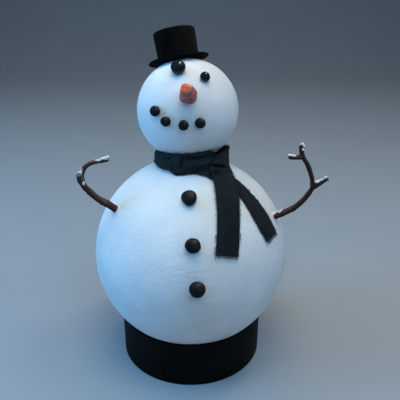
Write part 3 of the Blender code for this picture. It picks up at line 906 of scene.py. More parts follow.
# %% Rings of the nose
NOSE_PLACE = HEAD_CENTRE + direction(0.7, 30.4) * HEAD_RADIUS
NOSE_AIM = direction(-3.0, 24.0)
NOSE_LENGTH = 26 * MM
NOSE_RADIUS_ROOT = 7.8 * MM
NOSE_RADIUS_TIP = 5.2 * MM
NOSE_SUNK = 3 * MM
NOSE_CAP = 0.75 * NOSE_RADIUS_TIP  # length of the rounded end

profile = [(0.0, -NOSE_SUNK)]
for place in np.linspace(-NOSE_SUNK, NOSE_LENGTH - NOSE_CAP, 96):
    taper = max(place, 0) / NOSE_LENGTH
    profile.append((NOSE_RADIUS_ROOT + (NOSE_RADIUS_TIP - NOSE_RADIUS_ROOT) * taper, place))
end_radius, end_place = profile[-1]
for t in np.linspace(0, pi / 2, 26)[1:-1]:
    profile.append((end_radius * cos(t) ** 0.8, end_place + NOSE_CAP * sin(t) ** 1.1))
nose = lathe("carrot_nose_clay", profile + [(0.0, NOSE_LENGTH)], 160)

# %% Squeeze it and crease it
# Creases: place along the nose (mm), middle (degrees), reach each way (degrees), depth (mm)
CREASES = [
    (4.0, 120, 75, 0.5), (7.2, 215, 60, 0.45), (8.6, 30, 70, 0.6), (11.8, 150, 80, 0.55),
    (13.6, 300, 55, 0.4), (15.4, 70, 65, 0.6), (18.0, 190, 70, 0.5), (19.6, 10, 60, 0.45),
    (21.8, 110, 80, 0.5),
]  # fmt: skip
CREASE_WIDTH = 0.42


def ramp(value, low, high):
    """From 0 at low to 1 at high, and level outside them."""
    return np.clip((value - low) / (high - low), 0, 1)


points = points_of(nose)
turn = np.degrees(np.arctan2(points[:, 1], points[:, 0]))
along = points[:, 2] / MM
reach = np.maximum(np.hypot(points[:, 0], points[:, 1]), 1e-6)
squeezed = 1.05 - 0.035 * np.cos(np.radians(4 * turn + 40)) - 0.02 * np.cos(np.radians(turn - 200))
squeezed -= 0.03 * lumps(points, 6 * MM, 41)
crease = np.zeros(len(points))
cut = np.zeros(len(points))
for place, middle, half_reach, depth in CREASES:
    apart = np.abs((turn - middle + 180) % 360 - 180)
    bent = place + 0.5 * np.sin(np.radians(3 * turn + middle))
    groove = np.exp(-(((along - bent) / CREASE_WIDTH) ** 2)) * np.clip(1 - (apart / half_reach) ** 2, 0, 1)
    cut += groove * depth * MM
    crease = np.maximum(crease, groove)
on_end = ramp(along, 23, 26)
wrinkle = np.clip(1 - np.abs(lumps(points, 2.6 * MM, 44)) / 0.1, 0, 1) * ramp(along, 20.5, 22.5)
points[:, :2] *= (squeezed - np.minimum(cut / reach, 0.2))[:, None]
points[:, 2] -= 0.55 * MM * on_end * np.exp(-((reach / (2.6 * MM)) ** 2)) + 0.3 * MM * wrinkle * on_end
points[:, 2] += 0.3 * MM * on_end * lumps(points, 3 * MM, 47) - 0.2 * MM * on_end
points = points @ facing_frame(NOSE_AIM).T + np.array(NOSE_PLACE)
move_points(nose, points)
print("deepest crease:", round(cut.max() / MM, 2), "mm")

# %% Mark it for the paint, the painted shade and the painted highlight
# The crease mask becomes painted shade: dark in the creases and end wrinkles, along the upper rim and
# underneath. The top mask is a painted orange highlight on the upper left.
upper_left = (points - np.array(NOSE_PLACE)) @ np.array([-0.5, 0, 0.85]) / MM
rim = ramp(upper_left, 12.0, 13.4)
underside_shade = ramp(-upper_left, -3.4, 1.1)
crease = np.max([crease, 0.8 * wrinkle, 0.5 * rim, 0.45 * underside_shade], axis=0)
stain = ramp(along, 22.2, 23.8) * np.clip(0.9 + 1.3 * lumps(points, 2.4 * MM, 43), 0, 1)
store(nose.data, "crease", crease)
store(nose.data, "stain", stain * (1 - ramp(upper_left, 7.6, 9.4)))
# Painted highlight on the upper left, kept off the shaded rim
store(nose.data, "top", ramp(upper_left, 6.4, 8.8) * (1 - 0.9 * rim))
set_on(nose, carrot_clay, ["carrot_nose"])

# %% [markdown]
# ## The twig arms
# Each arm is one real forked twig, so each is one skin here. Its branches are tubes along smooth lines
# through the frame's points, covered by a single voxel skin, which rounds every fork the way wood grows
# round it. The bark comes last: ridges that run along the wood, and swollen rings where buds were.

# %% Lines through the twigs
# Places where branches part (mm)
LEFT_FORK, LEFT_HAND = (-98.1, -43.5, 209), (-85.4, -39.5, 232.5)
RIGHT_FORK, RIGHT_HAND = (115.3, -38, 204), (103, -42, 236.6)
# Branch: radius at its first and last point, then its points (mm)
LEFT_ARM = {
    "left_arm": (4.0, 3.0, (-72.9, -31.7, 181.1), (-79.8, -35, 188), (-87.4, -38.3, 195), LEFT_FORK),
    "left_forearm": (
        2.8, 2.0, LEFT_FORK, (-99.8, -43, 215.5), (-99.6, -42, 221.6), (-96.6, -41, 227.6),
        (-91.2, -40.2, 231.3), LEFT_HAND,
    ),
    "left_outer_twig": (3.0, 2.9, LEFT_FORK, (-100.3, -48.5, 218.4), (-99.8, -53, 225)),
    "left_hand_twig": (1.5, 1.4, LEFT_HAND, (-80, -39.5, 232.7), (-75.2, -40, 234)),
    "left_inner_twig": (1.4, 1.2, LEFT_HAND, (-80, -42.5, 235.4), (-74.2, -45, 238.4)),
}  # fmt: skip
RIGHT_ARM = {
    "right_arm": (
        3.5, 2.4, (82.3, -25.9, 168.8), (90.6, -28.3, 173.3), (101.4, -31.4, 181.3), (110, -35, 192.6),
        RIGHT_FORK,
    ),
    "right_forearm": (
        2.35, 2.3, RIGHT_FORK, (114.3, -38.8, 212.3), (111.7, -39.8, 220.8), (108.3, -40.8, 228.6),
        RIGHT_HAND,
    ),
    "right_outer_twig": (2.4, 2.2, RIGHT_FORK, (120, -39.5, 208.2), (127.4, -42, 215.4)),
    "right_hand_twig": (2.5, 2.2, RIGHT_HAND, (101.4, -42.4, 241.7), (101, -43, 248)),
    "right_inner_twig": (2.3, 2.1, RIGHT_HAND, (97, -43.6, 236.9), (90.1, -46, 238)),
}  # fmt: skip
BARE = "left_outer_twig"  # the bark has come off this stub
ROOT_IN_BALL = 8 * MM
LINE_STEP = 0.8 * MM
TUBE_AROUND = 20


def finer(points, steps):
    """A smooth curve through points, or through rows of them, with its own number of steps in each gap."""
    padded = np.concatenate([[2 * points[0] - points[1]], points, [2 * points[-1] - points[-2]]])
    line, marks = [], []
    for i, count in enumerate(steps):
        p0, p1, p2, p3 = padded[i : i + 4]
        square, cube = 2 * p0 - 5 * p1 + 4 * p2 - p3, 3 * p1 - p0 - 3 * p2 + p3
        for t in np.arange(count) / count:
            line.append(0.5 * (2 * p1 + (p2 - p0) * t + square * t**2 + cube * t**3))
            marks.append(i + t)
    return np.array(line + [points[-1]]), np.array(marks + [len(points) - 1])


def length_along(points):
    """How far along the line each point lies."""
    return np.concatenate([[0], np.cumsum(np.linalg.norm(np.diff(points, axis=0), axis=1))])


def carried_frames(line):
    """Two directions across the line at each point, carried along it without twist."""
    tangents = unit(np.gradient(line, axis=0))
    first = np.cross(tangents[0], [0.3, 0.9, 0.1])
    frames = []
    for tangent in tangents:
        first = unit(first - tangent * (first @ tangent))
        frames.append((first, np.cross(tangent, first)))
    return frames


def branch_line(first, last, *points, seed, rooted):
    """The line and radii of a branch, a little crooked and uneven, with its root where it has one."""
    points = np.array(points) * MM
    if rooted:
        points = np.vstack([points[0] + unit(points[0] - points[1]) * ROOT_IN_BALL, points])
    curve = finer(points, [24] * (len(points) - 1))[0]
    lengths = length_along(curve)
    marks = np.linspace(0, lengths[-1], round(lengths[-1] / LINE_STEP) + 1)
    line = np.array([np.interp(marks, lengths, curve[:, axis]) for axis in range(3)]).T
    share = np.linspace(0, 1, len(line))
    crook = np.array([lumps(line, 9 * MM, seed + axis) for axis in range(3)]).T
    line += crook * 0.35 * MM * np.sin(pi * share)[:, None]
    thickness = (first + (last - first) * share) * MM
    return line, thickness * (1 + 0.09 * lumps(line, 7 * MM, seed + 5))


def add_tube(points, faces, line, thickness):
    """A closed tube whose far end is blunt and rounded."""
    onward, end, radius = unit(line[-1] - line[-2]), line[-1], thickness[-1]
    for turn in np.radians((30, 55, 76)):
        line = np.vstack([line, end + onward * 0.5 * radius * sin(turn)])
        thickness = np.append(thickness, radius * cos(turn))
    start = len(points)
    for centre, radius, (one, other) in zip(line, thickness, carried_frames(line)):
        for turn in np.arange(TUBE_AROUND) * 2 * pi / TUBE_AROUND:
            points.append(centre + radius * (cos(turn) * one + sin(turn) * other))
    faces += grid_faces(len(line), TUBE_AROUND, start)
    faces.append(list(range(start, start + TUBE_AROUND))[::-1])
    faces.append(list(range(len(points) - TUBE_AROUND, len(points))))


def one_skin(piece, voxel, smoothing):
    """Cover overlapping closed shapes with a single skin."""
    remesh = piece.modifiers.new("skin", "REMESH")
    remesh.mode = "VOXEL"
    remesh.voxel_size = voxel
    remesh.use_smooth_shade = True
    soften = piece.modifiers.new("soften", "SMOOTH")
    soften.factor = 0.5
    soften.iterations = smoothing
    return applied(piece)


def raise_skin(piece, raised):
    """Move each point out along its normal, but not past the frame's sides."""
    points = points_of(piece) + points_of(piece, "normal") * raised[:, None]
    points[:, 0] = np.clip(points[:, 0], cad_box[0][0], cad_box[1][0])
    move_points(piece, points)


# %% Grow both arms
TWIG_VOXEL = 0.36 * MM
RIDGE_DEPTH = 0.32 * MM
BUD_RING_DEPTH = 0.28 * MM
BUD_SPACING = 17.0
SCAB_DEPTH = 0.2 * MM


def twig_arm(name, branches, seed):
    """One skin over all the branches, with bark; returns the branches' lines."""
    points, faces, lines = [], [], {}
    for index, (branch, shape) in enumerate(branches.items()):
        lines[branch] = branch_line(*shape, seed=seed + 13 * index, rooted=index == 0)
        add_tube(points, faces, *lines[branch])
    arm = one_skin(piece_from(name, points, faces), TWIG_VOXEL, 5)
    bark_on(arm, lines, seed)
    set_on(arm, bark, list(branches))
    return lines


def bark_on(arm, lines, seed):
    """Raise the ridges and bud rings, and store where each point lies on the bark."""
    centres = np.vstack([line for line, _ in lines.values()])
    sizes = np.concatenate([thickness for _, thickness in lines.values()])
    ways, lengths, bare = [], [], []
    for index, (branch, (line, _)) in enumerate(lines.items()):
        ways += carried_frames(line)
        lengths += list(np.arange(len(line)) * LINE_STEP + 40 * MM * index)
        bare += [float(branch == BARE and i > 4) for i in range(len(line))]
    tree = KDTree(len(centres))
    for i, centre in enumerate(centres):
        tree.insert(centre, i)
    tree.balance()
    points, normals = points_of(arm), points_of(arm, "normal")
    near = np.array([tree.find(point)[1] for point in points])
    across = ((points - centres[near])[:, None] * np.array(ways)[near]).sum(2)
    wide = np.maximum(np.linalg.norm(across, axis=1), 1e-5)
    along = np.array(lengths)[near] / MM
    place = np.column_stack([across / wide[:, None], along / 8])

    streak = lumps(place * 2.4, 1.0, seed)
    ridge = np.clip(1 - np.abs(streak) * 2.2, 0, 1)
    bud = np.exp(-(((along + 1.5 * streak + seed) % BUD_SPACING - BUD_SPACING / 2) ** 2) / 0.8)
    scab = np.clip(lumps(points, 1.6 * MM, seed + 3) - 0.25, 0, 1)
    raised = RIDGE_DEPTH * (ridge - 1) + BUD_RING_DEPTH * (bud - 0.2) + SCAB_DEPTH * scab
    raise_skin(arm, raised * np.clip(sizes[near] / (2.4 * MM), 0.4, 1))
    store(arm.data, "bark", place)
    store(arm.data, "ridge", np.clip(ridge + 0.6 * bud, 0, 1))
    store(arm.data, "bare", np.array(bare)[near])
    # Painted shade: how lit the bark is, less on the sides and underside of each twig
    store(arm.data, "upper", np.clip(0.55 + 0.65 * normals[:, 2], 0, 1))


left_lines = twig_arm("left_arm_wood", LEFT_ARM, 71)
right_lines = twig_arm("right_arm_wood", RIGHT_ARM, 83)

# %% [markdown]
# ### Dabs of snow
# Snow paste was dabbed on top of the twigs: a crust along the left hand, caps on the right fingers, a
# little in each fork, and a smear where the wood enters the ball. Paste heaps up in lumps, so each dab is
# a run of small balls along the upper side of its branch, under one rough skin.

# %% Dab the paste
SNOW_VOXEL = 0.28 * MM
# Branch: share of its length from and to, lump radius (mm), lift above the wood's middle in radii, lumps,
# lean of the dab from straight up towards the front (radians)
LEFT_DABS = [
    ("left_hand_twig", 0.3, 0.9, 0.75, 1.1, 12, 0.1),
    ("left_inner_twig", 0.08, 0.5, 0.85, 0.9, 10, 0.3),
    ("left_inner_twig", 0.4, 1.05, 1.25, 0.7, 20, 0.0),
    ("left_forearm", 0.96, 1.0, 0.5, 1.05, 4, 0.1),
    ("left_forearm", 0.5, 0.55, 0.65, 0.95, 4, 0.4),
    ("left_outer_twig", 1.0, 1.1, 0.95, 0.8, 8, -0.1),
]
RIGHT_DABS = [
    ("right_inner_twig", 0.62, 1.1, 0.75, 1.0, 14, 0.1),
    ("right_outer_twig", 0.5, 1.14, 0.7, 1.05, 20, 0.1),
    ("right_arm", 0.15, 0.33, 0.9, 1.08, 14, 0.0),
]
# Middle of a heap in a fork (mm), lump radius and spread (mm), lumps
LEFT_HEAPS = [
    ((-97.4, -49.6, 215.4), 1.0, (0.5, 0.5, 1.1), 9),
    ((-77.4, -44.8, 237.3), 1.0, (2.2, 0.5, 0.4), 16),
]
RIGHT_HEAPS = [
    ((118.0, -40.2, 211.2), 0.9, (2.1, 0.6, 0.9), 18),
    ((101.0, -43.6, 249.6), 1.0, (1.1, 0.8, 0.4), 9),
    ((102.6, -44.2, 247.6), 0.8, (0.4, 0.6, 1.3), 9),
    ((102.2, -45.2, 245.2), 0.7, (0.5, 0.3, 0.7), 6),
]
PAST_TIP = 8 * MM  # a share above one runs on past the tip, at this rate
COLLAR_OUT = 0.1 * MM


def paste(work, place, radius):
    bmesh.ops.create_icosphere(work, subdivisions=3, radius=radius, matrix=Matrix.Translation(place))


def dab(work, line, thickness, start, end, size, lift, count, lean, seed):
    """A run of paste lumps along the upper side of a branch."""
    pick = np.random.default_rng(seed)
    for share in np.linspace(start, end, count):
        i = int(min(share, 1.0) * (len(line) - 1))
        tangent = unit(line[min(i + 1, len(line) - 1)] - line[max(i - 1, 0)])
        upward = unit(np.array(UP) - tangent * tangent[2])
        side = np.cross(tangent, upward)
        side *= -1 if side[1] > 0 else 1
        turn = lean + pick.uniform(-0.75, 0.75)
        way = upward * cos(turn) + side * sin(turn)
        radius = size * MM * pick.uniform(0.7, 1.15)
        onward = max(share - 1, 0) * PAST_TIP + pick.uniform(-0.4, 0.4) * MM
        paste(work, line[i] + way * thickness[i] * lift + tangent * onward, radius)


def heap(work, middle, size, spread, count, seed):
    """A heap of paste in a fork."""
    pick = np.random.default_rng(seed)
    for _ in range(count):
        place = np.array(middle) + pick.uniform(-1, 1, 3) * spread
        paste(work, place * MM, size * MM * pick.uniform(0.7, 1.15))


def collar(work, line, thickness, seed):
    """A ragged smear of paste round a branch where it enters the ball."""
    pick = np.random.default_rng(seed)
    middle = np.array(BODY_CENTRE)
    i = int(np.argmax(np.linalg.norm(line - middle, axis=1) > BODY_RADIUS))
    one, other = carried_frames(line)[i]
    for turn in np.linspace(0, 2 * pi, 15)[:-1]:
        place = line[i] + (one * cos(turn) + other * sin(turn)) * thickness[i] * pick.uniform(0.85, 1.1)
        place = middle + unit(place - middle) * (BODY_RADIUS + COLLAR_OUT)
        paste(work, place, pick.uniform(0.55, 1.0) * MM)


def piece_of(name, work):
    """An object from a finished work mesh."""
    mesh = bpy.data.meshes.new(name)
    work.to_mesh(mesh)
    work.free()
    return added(name, mesh)


def snow(name, lines, dabs, heaps, seed):
    """All the paste on one arm, under one rough skin."""
    work = bmesh.new()
    for index, (branch, *dab_shape) in enumerate(dabs):
        dab(work, *lines[branch], *dab_shape, seed + index)
    for index, heap_shape in enumerate(heaps):
        heap(work, *heap_shape, seed + 30 + index)
    collar(work, *next(iter(lines.values())), seed + 50)
    piece = one_skin(piece_of(name, work), SNOW_VOXEL, 2)
    points = points_of(piece)
    rough = 0.22 * lumps(points, 1.1 * MM, seed) + 0.12 * lumps(points, 0.5 * MM, seed + 1)
    raise_skin(piece, rough * MM)
    set_on(piece, snow_paste, [])


snow("left_arm_snow", left_lines, LEFT_DABS, LEFT_HEAPS, 101)
snow("right_arm_snow", right_lines, RIGHT_DABS, RIGHT_HEAPS, 131)

# %% [markdown]
# ## The scarf
# The scarf is one strip torn from black cotton, about 22 mm wide. Its side tail lies on the lower ball,
# climbs to the neck, the strip goes once round in the groove between the balls and comes over itself as
# the front tail. So it is modelled as one strip that follows that path: rows of points across the cloth,
# joined by smooth curves both ways. A stiff tool such as a cloth simulation would lose the places of the
# two tails, which are the look of the piece, so the folds are listed one by one instead.

# %% Places on the balls and round the neck
CLOTH = 0.9 * MM  # thickness
CLOTH_LIFT = 1.0  # mm from a ball to the middle of the cloth
BODY_SIDE, HEAD_SIDE = "on the body", "on the head"
BODY_MM, HEAD_MM = BODY_RADIUS / MM, HEAD_RADIUS / MM
NECK_TO_BODY, NECK_TO_HEAD = NECK_HEIGHT / MM, (BALL_DISTANCE - NECK_HEIGHT) / MM
NECK_RIGHT = (Vector((1, 0, 0)) - NECK_AXIS * NECK_AXIS.x).normalized()
NECK_FRONT = NECK_RIGHT.cross(NECK_AXIS)
ACROSS = np.linspace(0, 1, 5)  # each row has five points across the cloth


def neck_height(distance, height):
    """A height above the neck in mm, worked out where it is given as lying on a ball."""
    if height == BODY_SIDE:
        return sqrt((BODY_MM + CLOTH_LIFT) ** 2 - distance**2) - NECK_TO_BODY
    if height == HEAD_SIDE:
        return NECK_TO_HEAD - sqrt((HEAD_MM + CLOTH_LIFT) ** 2 - distance**2)
    return height


def neck_point(angle, distance, height):
    """A point round the neck: degrees from the front towards +X, then mm."""
    a = radians(angle)
    outward = NECK_FRONT * cos(a) + NECK_RIGHT * sin(a)
    return np.array(NECK + (NECK_AXIS * neck_height(distance, height) + outward * distance) * MM)


def neck_row(lower, upper, bulge):
    """Five points from the lower edge to the upper one, each (angle, distance, height)."""
    start, end = [np.array([*edge[:2], neck_height(*edge[1:])]) for edge in (lower, upper)]
    row = []
    for share in ACROSS:
        angle, distance, height = start + (end - start) * share
        row.append(neck_point(angle, distance + bulge * sin(pi * share), height))
    return row


def tail_row(heading, falls, places, lift):
    """Five points of a tail: degrees down from the ball's top, and mm either side of its upright plane."""
    a = radians(heading)
    forward, side = np.array([sin(a), -cos(a), 0]), np.array([cos(a), sin(a), 0])
    row = []
    for place, fall in zip(np.interp(ACROSS, (0, 1), places), np.radians(np.interp(ACROSS, (0, 1), falls))):
        reach = sqrt((BODY_MM + CLOTH_LIFT + lift) ** 2 - place**2)
        arm = side * place + forward * reach * sin(fall) + np.array(UP) * reach * cos(fall)
        row.append(np.array(BODY_CENTRE) + arm * MM)
    return row


def back_row(angle):
    """Five points of the wrap where it is out of sight, in a shallow S."""
    a = radians(angle)
    distance = 36.0 + 1.9 * cos(a) + 3.2 * sin(a) + 1.3 * cos(2 * a)
    heights = np.linspace(neck_height(distance - 0.6, BODY_SIDE), neck_height(distance - 1.0, HEAD_SIDE), 5)
    return [neck_point(angle, distance + step, height) for step, height in zip(BACK_STEPS, heights)]


# %% [markdown]
# The first edge in every row is the same edge of the cloth all the way: the inner edge of the side tail,
# the lower edge of the wrap, and the right-hand edge of the front tail. The side tail is bunched narrower
# where it goes under the front one.

# %% Rows across the strip, from the end of the side tail to the end of the front tail
SIDE_HEADING = 63.3
FRONT_HEADING = 0.0
# Degrees down the ball at each edge, places of the two edges (mm), lift off the ball (mm)
SIDE_TAIL = [
    ((66.6, 66.0), (-19.8, 0.2), 0.5),
    ((63.0, 62.5), (-20.9, 0.2), 0.0),
    ((58.5, 58.5), (-21.9, 0.1), 0.0),
    ((52.0, 52.0), (-21.4, 0.0), 0.0),
    ((46.0, 46.0), (-19.8, -0.1), 0.0),
    ((40.0, 40.0), (-17.4, -0.1), 0.0),
    ((34.0, 34.0), (-14.8, 0.5), 0.0),
    ((27.5, 27.5), (-16.4, 0.9), 0.1),
    ((21.5, 21.5), (-20.0, 0.9), 0.3),
]
# Lower edge, upper edge (angle, distance, height), bulge (mm)
TURN_IN = [
    ((20.4, 42.8, BODY_SIDE), (50.0, 39.6, 5.0), 0.3),
    ((9.0, 38.7, BODY_SIDE), (34.0, 37.7, HEAD_SIDE), 1.0),
    ((-5.0, 39.6, BODY_SIDE), (8.0, 36.2, HEAD_SIDE), 1.5),
]
# Angle, and five (distance, height) from the lower to the upper edge
FRONT_WRAP = [
    (-19, (40.4, BODY_SIDE), (41.6, -2.6), (39.4, 3.6), (38.2, 8.9), (35.5, HEAD_SIDE)),
    (-34, (34.8, BODY_SIDE), (38.8, -1.0), (39.0, 4.4), (38.2, 9.3), (35.7, HEAD_SIDE)),
    (-50, (34.6, BODY_SIDE), (38.2, -0.4), (38.0, 4.8), (37.5, 9.5), (35.5, HEAD_SIDE)),
    (-70, (33.6, BODY_SIDE), (36.0, -0.6), (35.6, 4.6), (35.3, 9.2), (34.2, HEAD_SIDE)),
    (-90, (32.4, BODY_SIDE), (33.6, -0.8), (33.4, 3.0), (32.8, 6.2), (31.4, HEAD_SIDE)),
]
BACK_ANGLES = (-112, -134, -156, -178, -200, -220, -238)
BACK_STEPS = (-0.6, 0.8, 0.2, 0.6, -1.2)  # mm in or out, across the strip
CROSSING = [
    ((104, 39.2, -4.5), (104, 36.2, 10.8), 0.8),
    ((84, 39.8, -4.8), (82, 40.6, 11.9), 0.4),
    ((68, 43.2, -5.8), (58, 40.8, 12.0), 0.2),
    ((62, 46.8, -8.0), (38, 42.2, 8.0), 0.3),
    ((57, 51.0, -10.4), (26.5, 44.6, -1.0), 0.3),
]
FRONT_TAIL = [
    ((18.2, 18.0), (43.2, 20.4), 2.3),
    ((23.5, 23.0), (45.2, 22.6), 2.2),
    ((29.0, 28.5), (45.8, 23.2), 1.7),
    ((35.0, 35.0), (45.3, 23.9), 1.0),
    ((42.0, 42.0), (44.9, 24.3), 0.2),
    ((49.5, 49.5), (44.5, 24.0), 0.0),
    ((57.0, 56.5), (43.8, 23.3), 0.0),
    ((62.0, 61.2), (43.0, 22.7), 0.1),
    ((65.4, 64.2), (42.5, 22.3), 0.9),
]
ROW_SPACING = 0.6 * MM
COLUMN_STEPS = 8

rows = [tail_row(SIDE_HEADING, *shape) for shape in SIDE_TAIL]
TURN_IN_START = len(rows)
rows += [neck_row(*shape) for shape in TURN_IN]
rows += [[neck_point(angle, *place) for place in places] for angle, *places in FRONT_WRAP]
rows += [back_row(angle) for angle in BACK_ANGLES]
CROSSING_START = len(rows)
rows += [neck_row(*shape) for shape in CROSSING]
FRONT_TAIL_START = len(rows)
rows += [tail_row(FRONT_HEADING, *shape) for shape in FRONT_TAIL]
rows = np.array(rows)
gaps = np.linalg.norm(np.diff(rows, axis=0), axis=2).mean(axis=1)
cloth, row_marks = finer(rows, [max(2, round(gap / ROW_SPACING)) for gap in gaps])
cloth = finer(cloth.transpose(1, 0, 2), [COLUMN_STEPS] * 4)[0].transpose(1, 0, 2)
ROWS, COLUMNS = cloth.shape[:2]
print("cloth grid:", ROWS, "rows,", COLUMNS, "columns")

# %% [markdown]
# Each fold is a soft groove or ridge along a short line, laid in the cloth's own surface: where it lies
# round the neck and how high. The front folds are those of a strip that is wider than the groove it fills:
# it buckles once lengthwise and pinches in a few places. Smaller noise on top keeps any part from looking
# rolled by a machine.

# %% Folds
# Line of (angle, height in mm), half-width (mm), depth (mm, negative for a groove)
WRAP_FOLDS = [
    ([(-9.8, 13.5), (-9.2, 8.0), (-9.8, 4.0), (-11.0, 0.0)], 1.1, -3.4),
    ([(-14.2, 12.0), (-13.8, 6.0), (-15.0, 1.5)], 1.6, 1.9),
    ([(-6.0, 8.6), (4, 7.8), (16, 7.6), (27, 8.8), (35, 11.2)], 2.2, -3.2),
    ([(-8, 1.6), (4, 2.6), (16, 2.6), (27, 3.6), (35, 6.2)], 1.9, 2.6),
    ([(2, -3.4), (12, -3.2), (22, -4.4)], 1.3, -1.0),
    ([(-5, 11.2), (8, 10.8), (22, 11.4)], 1.1, 0.6),
    ([(-32.5, 5.6), (-28, 7.6), (-24, 9.6)], 1.1, -2.0),
    ([(-42, 8.0), (-38, 5.8), (-33.5, 6.6)], 1.0, -1.4),
    ([(-56, 9.6), (-42, 10.6), (-26, 10.8), (-16, 10.6)], 1.5, -1.5),
    ([(-54, 2.4), (-42, 3.0), (-28, 3.6), (-18, 2.8)], 1.9, 2.2),
    ([(-24, -4.2), (-23, -0.8), (-21, 1.2)], 1.2, -1.7),
    ([(-17, -3.2), (-8, -3.0), (2, -0.8)], 1.8, 0.8),
    ([(-75, 2.0), (-66, 7.0), (-60, 12.0)], 1.4, -1.0),
    ([(-80, -1.0), (-70, 0.5), (-58, 0.0)], 1.6, 0.6),
    # Round the back
    ([(-98, 5.0), (-120, 3.4), (-146, 3.0), (-172, 2.4)], 1.7, -1.1),
    ([(-182, 4.6), (-204, 3.2), (-232, 3.8), (-250, 2.0)], 1.6, -1.2),
    ([(-104, -2.0), (-112, 3.0), (-116, 8.0)], 1.5, -0.5),
    ([(-140, -1.0), (-152, 6.4)], 1.3, -0.8),
    ([(-188, -2.0), (-178, 6.0)], 1.4, -0.9),
    ([(-214, 7.0), (-222, -1.0)], 1.3, -0.8),
    ([(-240, -3.0), (-246, 8.0)], 1.4, 0.7),
]
CROSSING_FOLDS = [
    ([(30, 0.8), (40, -0.8), (53, -3.4)], 1.2, -2.4),
    ([(29, 3.4), (40, 2.4), (55, -0.4)], 1.6, 1.0),
    ([(28, -2.4), (42, -4.0), (56, -6.8)], 1.7, 0.9),
    ([(100, 2.0), (84, 3.0), (68, 1.0), (54, -1.0)], 1.5, -0.7),
    ([(98, 7.5), (80, 8.4), (64, 7.0), (52, 2.8)], 1.4, -0.9),
    ([(94, 10.6), (78, 11.0), (62, 9.6)], 1.1, 0.6),
]
MEAN_DISTANCE = 39.0  # mm, turns an angle round the neck into a length


def along_fold(place, line):
    """Distance in mm from each place to a line of (angle, height), and the share of the way along it."""
    corners = np.array([(radians(angle) * MEAN_DISTANCE, height) for angle, height in line])
    best = np.full(place.shape[:-1], np.inf)
    best_share = np.zeros(place.shape[:-1])
    for i, (start, end) in enumerate(zip(corners, corners[1:])):
        run = end - start
        t = np.clip(((place - start) @ run) / (run @ run), 0, 1)
        distance = np.linalg.norm(place - start - t[..., None] * run, axis=-1)
        nearer = distance < best
        best = np.where(nearer, distance, best)
        best_share = np.where(nearer, (i + t) / (len(corners) - 1), best_share)
    return best, best_share


def folded(place, folds):
    """How far the folds move each place outwards, in mm."""
    moved = np.zeros(place.shape[:-1])
    for line, width, depth in folds:
        distance, share = along_fold(place, line)
        fading = np.clip(4 * np.minimum(share, 1 - share) + 0.35, 0, 1)
        moved += depth * np.exp(-((distance / width) ** 2)) * fading
    return moved


arm = (cloth - np.array(NECK)) / MM
turned_by = np.arctan2(arm @ np.array(NECK_RIGHT), arm @ np.array(NECK_FRONT))
mark = row_marks[:, None] + np.zeros((1, COLUMNS))
round_back = (mark > TURN_IN_START + 2.5) & (mark < CROSSING_START - 0.5) & (turned_by > radians(60))
turned_by -= 2 * pi * round_back
place = np.stack([turned_by * MEAN_DISTANCE, arm @ np.array(NECK_AXIS)], axis=-1)

on_wrap = ramp(mark, TURN_IN_START - 0.8, TURN_IN_START + 0.5)
on_wrap *= 1 - ramp(mark, CROSSING_START - 1.5, CROSSING_START - 0.5)
on_crossing = ramp(mark, CROSSING_START - 0.5, CROSSING_START)
on_crossing *= 1 - ramp(mark, FRONT_TAIL_START + 1, FRONT_TAIL_START + 2)
moved = folded(place, WRAP_FOLDS) * on_wrap + folded(place, CROSSING_FOLDS) * on_crossing

# Gathers run down from the knot into the front tail, and fade
GATHERS = 2.6
GATHER_DEPTH = 0.5
down = np.clip(mark - (CROSSING_START + 3), 0, None)
across = np.linspace(0, 1, COLUMNS)
gathers = GATHER_DEPTH * np.cos(2 * pi * (GATHERS * across + 0.25)) * np.exp(-((down - 1.5) / 2.6) ** 2)
moved += gathers * ramp(mark, CROSSING_START + 1, CROSSING_START + 3)

flat_points = cloth.reshape(-1, 3)
soft = 0.34 * lumps(flat_points, 11 * MM, 201) + 0.16 * lumps(flat_points, 4 * MM, 202)
moved += soft.reshape(ROWS, COLUMNS)
normals = unit(np.cross(np.gradient(cloth, axis=1), np.gradient(cloth, axis=0)))
cloth = cloth + normals * (moved * MM)[:, :, None]
print("folds:", round(moved.min(), 1), "to", round(moved.max(), 1), "mm")

# A torn edge wanders a little
for edge, inner, seed in ((0, 1, 211), (-1, -2, 213)):
    wander = 0.3 * MM * lumps(cloth[:, edge], 3 * MM, seed)
    wander += 0.15 * MM * lumps(cloth[:, edge], 1.2 * MM, seed + 1)
    out = unit(cloth[:, edge] - cloth[:, inner]) * wander[:, None]
    for column in range(4):
        cloth[:, edge + column * (inner - edge)] += out * (1 - column / 4)

# %% Keep it off the balls, and make the mesh
CLEAR = 0.6 * MM  # from a ball to the middle of the cloth


def off_the_balls(points, clear):
    return pushed_out(pushed_out(points, BODY_CENTRE, BODY_RADIUS + clear), HEAD_CENTRE, HEAD_RADIUS + clear)


points = off_the_balls(cloth.reshape(-1, 3), CLEAR)
cloth = points.reshape(ROWS, COLUMNS, 3)
scarf = piece_from("scarf_cloth", points, grid_faces(ROWS, COLUMNS, closed=False))
lengths = length_along(cloth[:, COLUMNS // 2])
width = float(np.median(np.linalg.norm(np.diff(cloth, axis=1), axis=2).sum(axis=1)))
print("strip:", round(width / MM, 1), "mm wide and", round(lengths[-1] / MM), "mm long")

strip_map = scarf.data.uv_layers.new(name="strip")
corners = np.empty(len(scarf.data.loops), dtype=int)
scarf.data.loops.foreach_get("vertex_index", corners)
strip = np.stack([corners % COLUMNS / (COLUMNS - 1) * width, lengths[corners // COLUMNS]], axis=1)
strip_map.data.foreach_set("uv", strip.astype(np.float32).ravel())
wall = scarf.modifiers.new("wall", "SOLIDIFY")
wall.thickness = CLOTH
wall.offset = 0
set_on(applied(scarf), cotton, ["scarf"])

